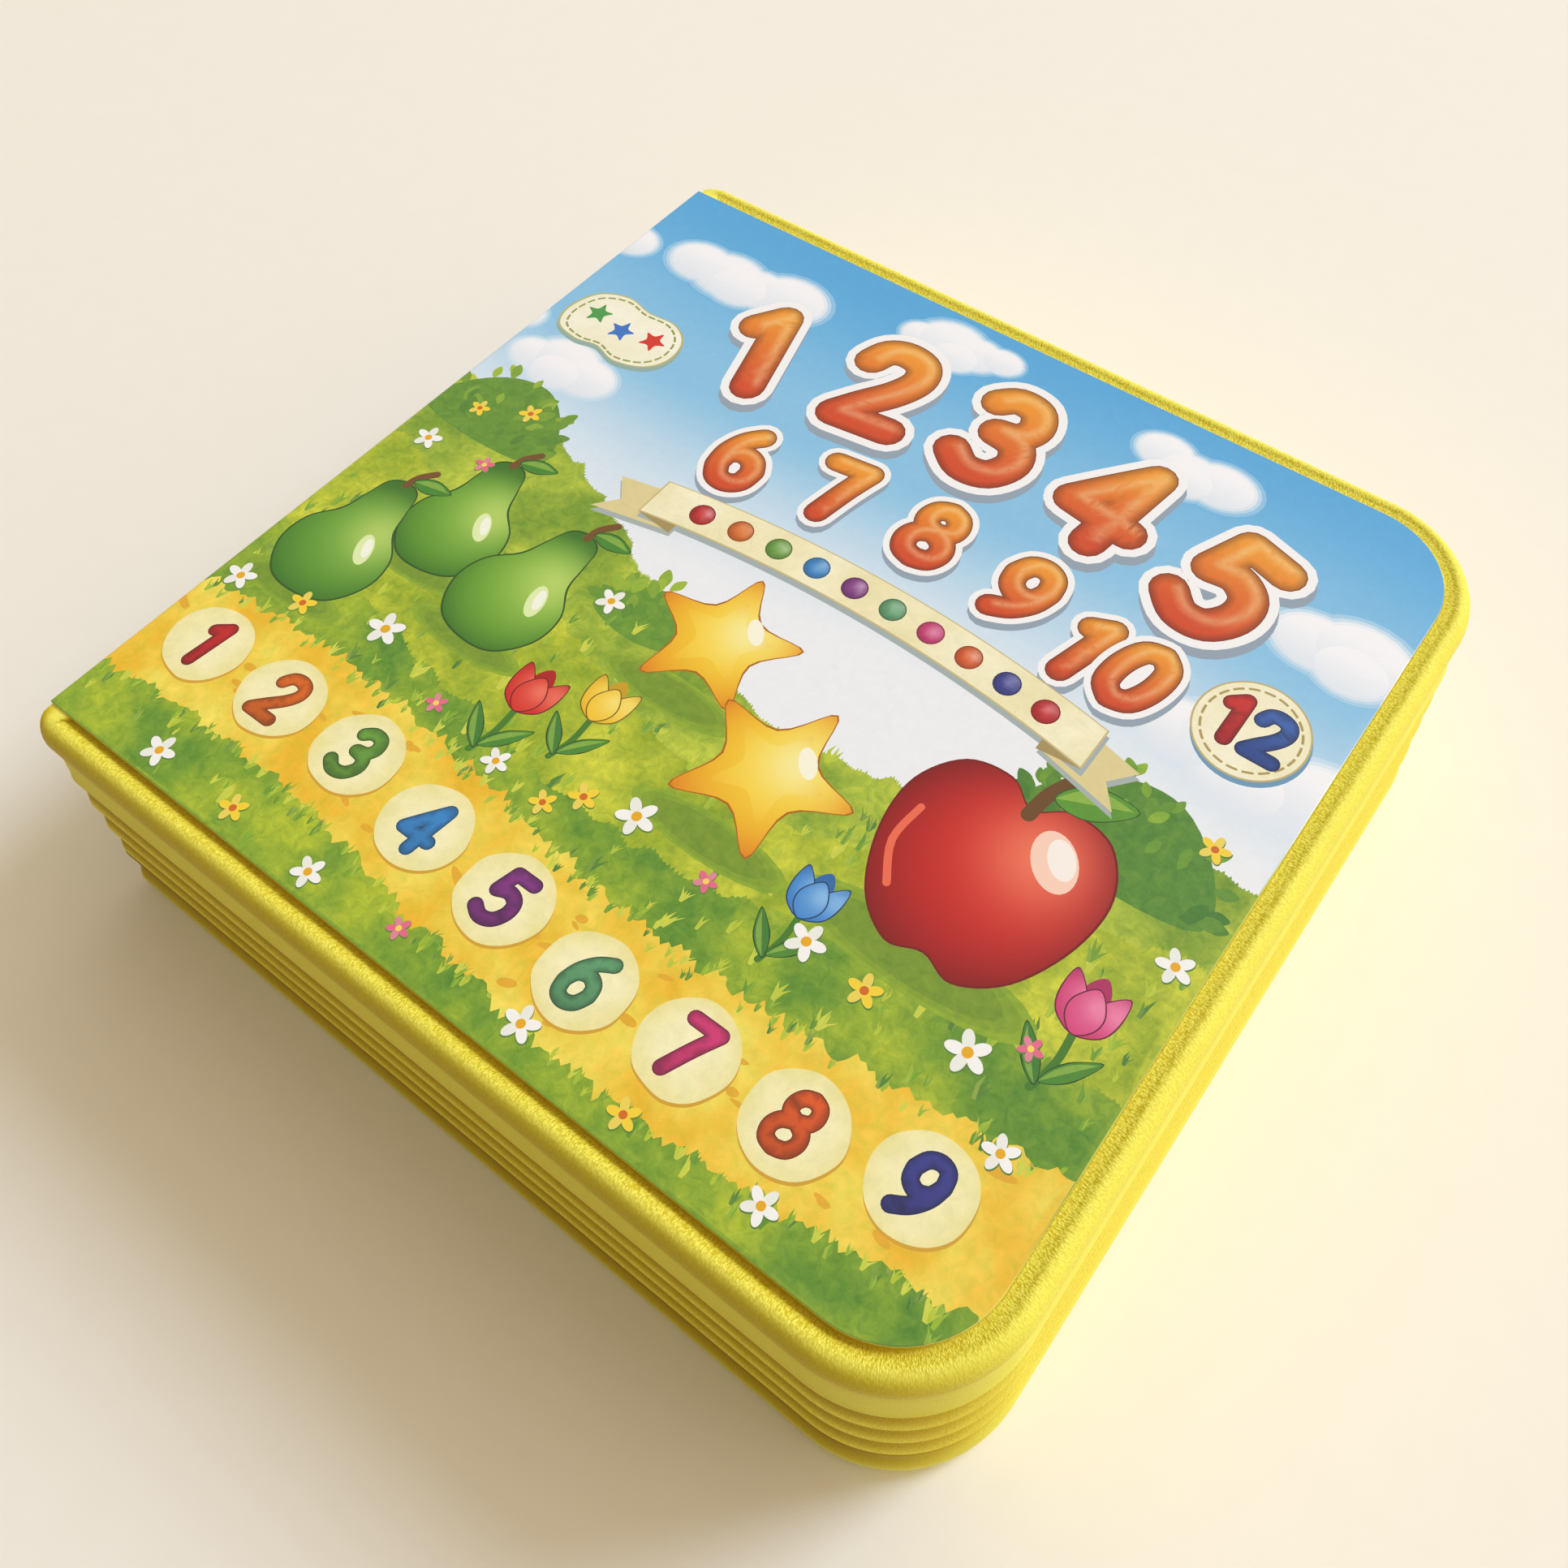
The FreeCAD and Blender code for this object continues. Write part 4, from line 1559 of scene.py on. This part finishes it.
def back_place(u, v, depth):
    """Lies flat under the back board, then turns up the spine."""
    y = PRINT_TAIL + v
    reach_in = PRINT_WIDE - u
    if reach_in > FOLD:
        return OUT_X + reach_in, y, depth
    if reach_in < -FOLD:
        return OUT_X + depth, y, -reach_in
    angle = (reach_in + FOLD) / (2 * FOLD) * math.pi / 2
    reach = FOLD - depth
    return OUT_X + FOLD - reach * math.cos(angle), y, FOLD - reach * math.sin(angle)


back_picture = Picture(
    mirrored(sheet_outline(-BACK_FLAP, PRINT_WIDE, PRINT_TALL, PRINT_RADIUS, 0.12), PRINT_WIDE), sky,
)
meadow(back_picture, 71, PRINT_WIDE, 60, 110)
panel = curve(
    [(28, 44), (78, 41), (128, 44), (133, 76), (128, 108), (78, 111), (28, 108), (23, 76)], 10, closed=True,
)
back_picture.add(panel + (0.6, -1.0), (120, 152, 130), 0)
back_picture.add(panel, (200, 184, 120), 0)
centre = panel.mean(axis=0)
back_picture.add(centre + (panel - centre) * 0.985, paper((246, 240, 196), (253, 250, 226), 9, 81.0), 0.25)
stitches(back_picture, centre + (panel - centre) * 0.93, 1.6, 1.1)
for row in range(5):
    v = 98 - row * 11
    back_picture.add(thick_line([(38, v), (78, v), (118, v)], 0.35), (188, 168, 110), 0)
    colour = FIGURE_COLOURS[row]
    for place in range(row + 1):
        u = 46 + place * 11
        bead(back_picture, u, v, (4.3, 4.05, 4.2), colour, darker(colour, 0.6), 30)
    back_picture.digit(str(row + 1), 110, v, 8.0, 1.0, darker(colour, 0.88), colour)
back_print = printed_sheet(
    "back_cover_picture", back_picture, back_place, folds=tuple(PRINT_WIDE + part for part in FOLD_LINES),
    bare_edge=lambda u, v: u < PRINT_WIDE + BACK_FLAP - 0.5, spacing=1.6,
)

# %% [markdown]
# The inside faces are linings on the covers and the first and last page of the block. Their corners
# follow the boards, so a narrow foam margin shows all round.

# %% Inside pages
LINING_WIDE = print_high[0] - SPINE_X


def page_picture(figure, motif, base, dark, mirror):
    outline = sheet_outline(0.15, LINING_WIDE, PRINT_TALL, PRINT_RADIUS, 0.12)
    picture = Picture(mirrored(outline, LINING_WIDE) if mirror else outline, sky)
    meadow(picture, 80 + figure, LINING_WIDE, 56, 60)
    picture.digit(str(figure), 44, 84, 52, 7.5, dark, base, border=2.2, gloss=True)
    for place in range(figure):
        u = 106 + (place % 2) * 26 - (13 if figure % 2 and place == figure - 1 else 0)
        motif(picture, u if figure > 1 else 112, 82 - (place // 2) * 36 if figure > 1 else 62)
    for place in range(figure):
        bead(picture, 30 + place * 13, 24, (4.6, 4.3, 4.4), base, mix(base, BLACK, 0.35), 30, dark)
    return picture


front_lining = printed_sheet(
    "front_cover_lining_page",
    page_picture(1, lambda picture, u, v: apple(picture, u, v, 25), (214, 44, 36), (170, 18, 24), True),
    lambda u, v, depth: (print_high[0] - u, PRINT_TAIL + v, FRONT_Z + depth), spacing=2.0,
)
first_page = printed_sheet(
    "first_page",
    page_picture(
        2, lambda picture, u, v: garden_star(picture, u, v, 15, 8), (250, 196, 40), (226, 128, 24), False,
    ),
    lambda u, v, depth: (SPINE_X + u, PRINT_TAIL + v, block_high[2] - depth * 0.25), spacing=2.0,
)
last_page = printed_sheet(
    "last_page",
    page_picture(3, lambda picture, u, v: pear(picture, u, v, 12, 4), (112, 168, 52), (60, 118, 34), True),
    lambda u, v, depth: (print_high[0] - u, PRINT_TAIL + v, block_low[2] + depth * 0.25), spacing=2.0,
)
back_lining = printed_sheet(
    "back_cover_lining_page",
    page_picture(
        4, lambda picture, u, v: tulip(picture, u, v - 4, 10, (58, 130, 205), (160, 208, 244)),
        (60, 140, 208), (34, 84, 160), False,
    ),
    lambda u, v, depth: (SPINE_X + u, PRINT_TAIL + v, BACK_Z - depth), spacing=2.0,
)

# %% [markdown]
# ## Foam finish
#
# The boards are closed-cell foam with a pressed skin. On the roll the skin has a fine leathery grain,
# a little longer across the edge than along it, and a satin sheen; the pits of the grain are painted
# darker as shade. The walls, which were cut, are smoother and duller. The colour is a warm yellow,
# painted darker and more ochre as shade in the creases, under the roll and between the boards.

# %% Foam material
PIT_SHADE_TINT = (0.68, 0.58, 0.16)
SHADE_WARMTH_TINT = (0.97, 0.88, 0.28)
GLEAM_TINT = (1.0, 0.9, 0.45, 1)


def multiply(tree, share, colour, tint):
    """Multiplies a colour by a tint, as far as share says."""
    return make(tree, "MixRGB", {0: share, 1: colour, 2: (*tint, 1)}, blend_type="MULTIPLY")


def foam(base, painted_shade, grain_height, gleam):
    """Foam of one colour, with the tint of its painted shade, the height of its grain in mm and its gleam.
    """

    def finish(tree):
        spot = make(tree, "UVMap", uv_map="edge_mm")
        roll = make(tree, "Attribute", attribute_name="roll").outputs["Fac"]
        shade = make(tree, "Attribute", attribute_name="painted_shade").outputs["Fac"]
        stretch = make(tree, "Mapping", {"Vector": spot, "Scale": (1.0, 0.5, 1.0)})
        pebbles = make(
            tree, "TexVoronoi", {"Vector": stretch, "Scale": 4.4, "Smoothness": 0.6}, feature="SMOOTH_F1",
        )
        fine = make(tree, "TexNoise", {"Vector": stretch, "Scale": 5.0, "Detail": 3})
        height = calculate(tree, "MULTIPLY_ADD", fine, 0.8, pebbles)
        amount = make(tree, "MapRange", {"Value": roll, "To Min": 0.16, "To Max": 1.0})
        patches = make(tree, "TexNoise", {"Vector": spot, "Scale": 0.09, "Detail": 4})
        duller = (base[0] * 0.96, base[1] * 0.93, base[2] * 0.85, 1)
        colour = make(tree, "MixRGB", {0: patches, 1: (*base, 1), 2: duller})
        pit_shade = make(tree, "MapRange", {"Value": height, "From Min": 0.55, "From Max": 1.15})
        # Painted shade: the pits of the grain are darkened in colour.
        colour = multiply(tree, calculate(tree, "MULTIPLY", pit_shade, amount), colour, PIT_SHADE_TINT)
        # Painted shade: the stored shade warms the colour and then darkens it with the shade tint, in the
        # creases, under the roll and between the boards.
        colour = multiply(
            tree, make(tree, "MapRange", {"Value": shade, "From Max": 0.45}), colour, SHADE_WARMTH_TINT,
        )
        bump = {"Distance": grain_height * MM, "Strength": amount, "Height": height}
        return {
            "Base Color": multiply(tree, shade, colour, painted_shade),
            "Normal": make(tree, "Bump", bump, invert=True),
            "Roughness": make(tree, "MapRange", {"Value": roll, "To Min": 0.62, "To Max": 0.36}),
            "Specular IOR Level": gleam,
            "Specular Tint": GLEAM_TINT,
        }

    return finish


# The second colour of each foam is the tint of its painted shade.
cover_foam = material("yellow_cover_foam", foam(srgb(255, 250, 106), (0.42, 0.26, 0.004), 0.1, 0.35))
leaf_foam = material("yellow_leaf_foam", foam(srgb(255, 243, 88), (0.38, 0.24, 0.002), 0.05, 0.12))
for piece in (front_foam, back_foam):
    piece.data.materials.append(cover_foam)
for piece in leaves:
    piece.data.materials.append(leaf_foam)
print("foam finished")

# %% [markdown]
# ## Print finish
#
# The print is ink under a thin satin film. The ink colour comes with the mesh. Where the picture
# shows grass or sand, a fine mottle breaks the colour up like a painter's dabs. The film has a very
# slight waviness, and a soft gleam.

# %% Print material
def satin_print(tree):
    ink = make(tree, "VertexColor", layer_name="ink")
    mottled = make(tree, "Attribute", attribute_name="grain").outputs["Fac"]
    spot = make(tree, "UVMap", uv_map="sheet_mm")
    dabs = make(
        tree, "TexNoise",
        {"Vector": spot, "Scale": 0.55, "Detail": 6, "Roughness": 0.68, "Distortion": 0.6},
    )
    swing = make(
        tree, "MapRange", {"Value": dabs, "From Min": 0.3, "From Max": 0.7, "To Min": -1.0, "To Max": 1.0},
    )
    amount = calculate(tree, "MULTIPLY", swing, mottled)
    lighter = calculate(tree, "MULTIPLY_ADD", amount, 0.22, 1.0)
    hue = calculate(tree, "MULTIPLY_ADD", amount, -0.018, 0.5)
    film = make(tree, "TexNoise", {"Vector": spot, "Scale": 0.35, "Detail": 2})
    return {
        "Base Color": make(tree, "HueSaturation", {"Color": ink, "Value": lighter, "Hue": hue}),
        "Normal": make(tree, "Bump", {"Distance": 0.02 * MM, "Strength": 0.5, "Height": film}),
        "Roughness": 0.42,
        "Specular IOR Level": 0.4,
    }


printed = material("printed_satin_sheet", satin_print)
for piece in (front_print, spine_print, back_print, front_lining, back_lining, first_page, last_page):
    piece.data.materials.append(printed)
print("print finished")

# %% [markdown]
# ## Joining the book
#
# Each dressed piece now stands for its plain solid and moves with the right part of the book: the
# front cover, the back cover, or the page block, which is glued to the spine.

# %% Put the pieces on their bodies
DRESSED = (
    (front_foam, "front_cover", ("front_cover_foam",), "yellow_foam"),
    (front_print, "front_cover", ("front_cover_print",), "printed_sheet"),
    (front_lining, "front_cover", ("front_cover_lining",), "printed_sheet"),
    (back_foam, "back_cover", ("back_cover_foam",), "yellow_foam"),
    (back_print, "back_cover", ("back_cover_print",), "printed_sheet"),
    (back_lining, "back_cover", ("back_cover_lining",), "printed_sheet"),
    (spine_print, "block", ("spine_print",), "printed_sheet"),
    (leaves[0], "block", ("page_block",), "leaf_foam"),
    (leaves[1], "block", ("page_block",), "leaf_foam"),
    (leaves[2], "block", ("page_block",), "leaf_foam"),
    (first_page, "block", (), "printed_sheet"),
    (last_page, "block", (), "printed_sheet"),
)
for piece, body, stands_for, finish_slot in DRESSED:
    if stands_for:
        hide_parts(*stands_for)
    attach(piece, body)
print(len(DRESSED), "pieces joined")
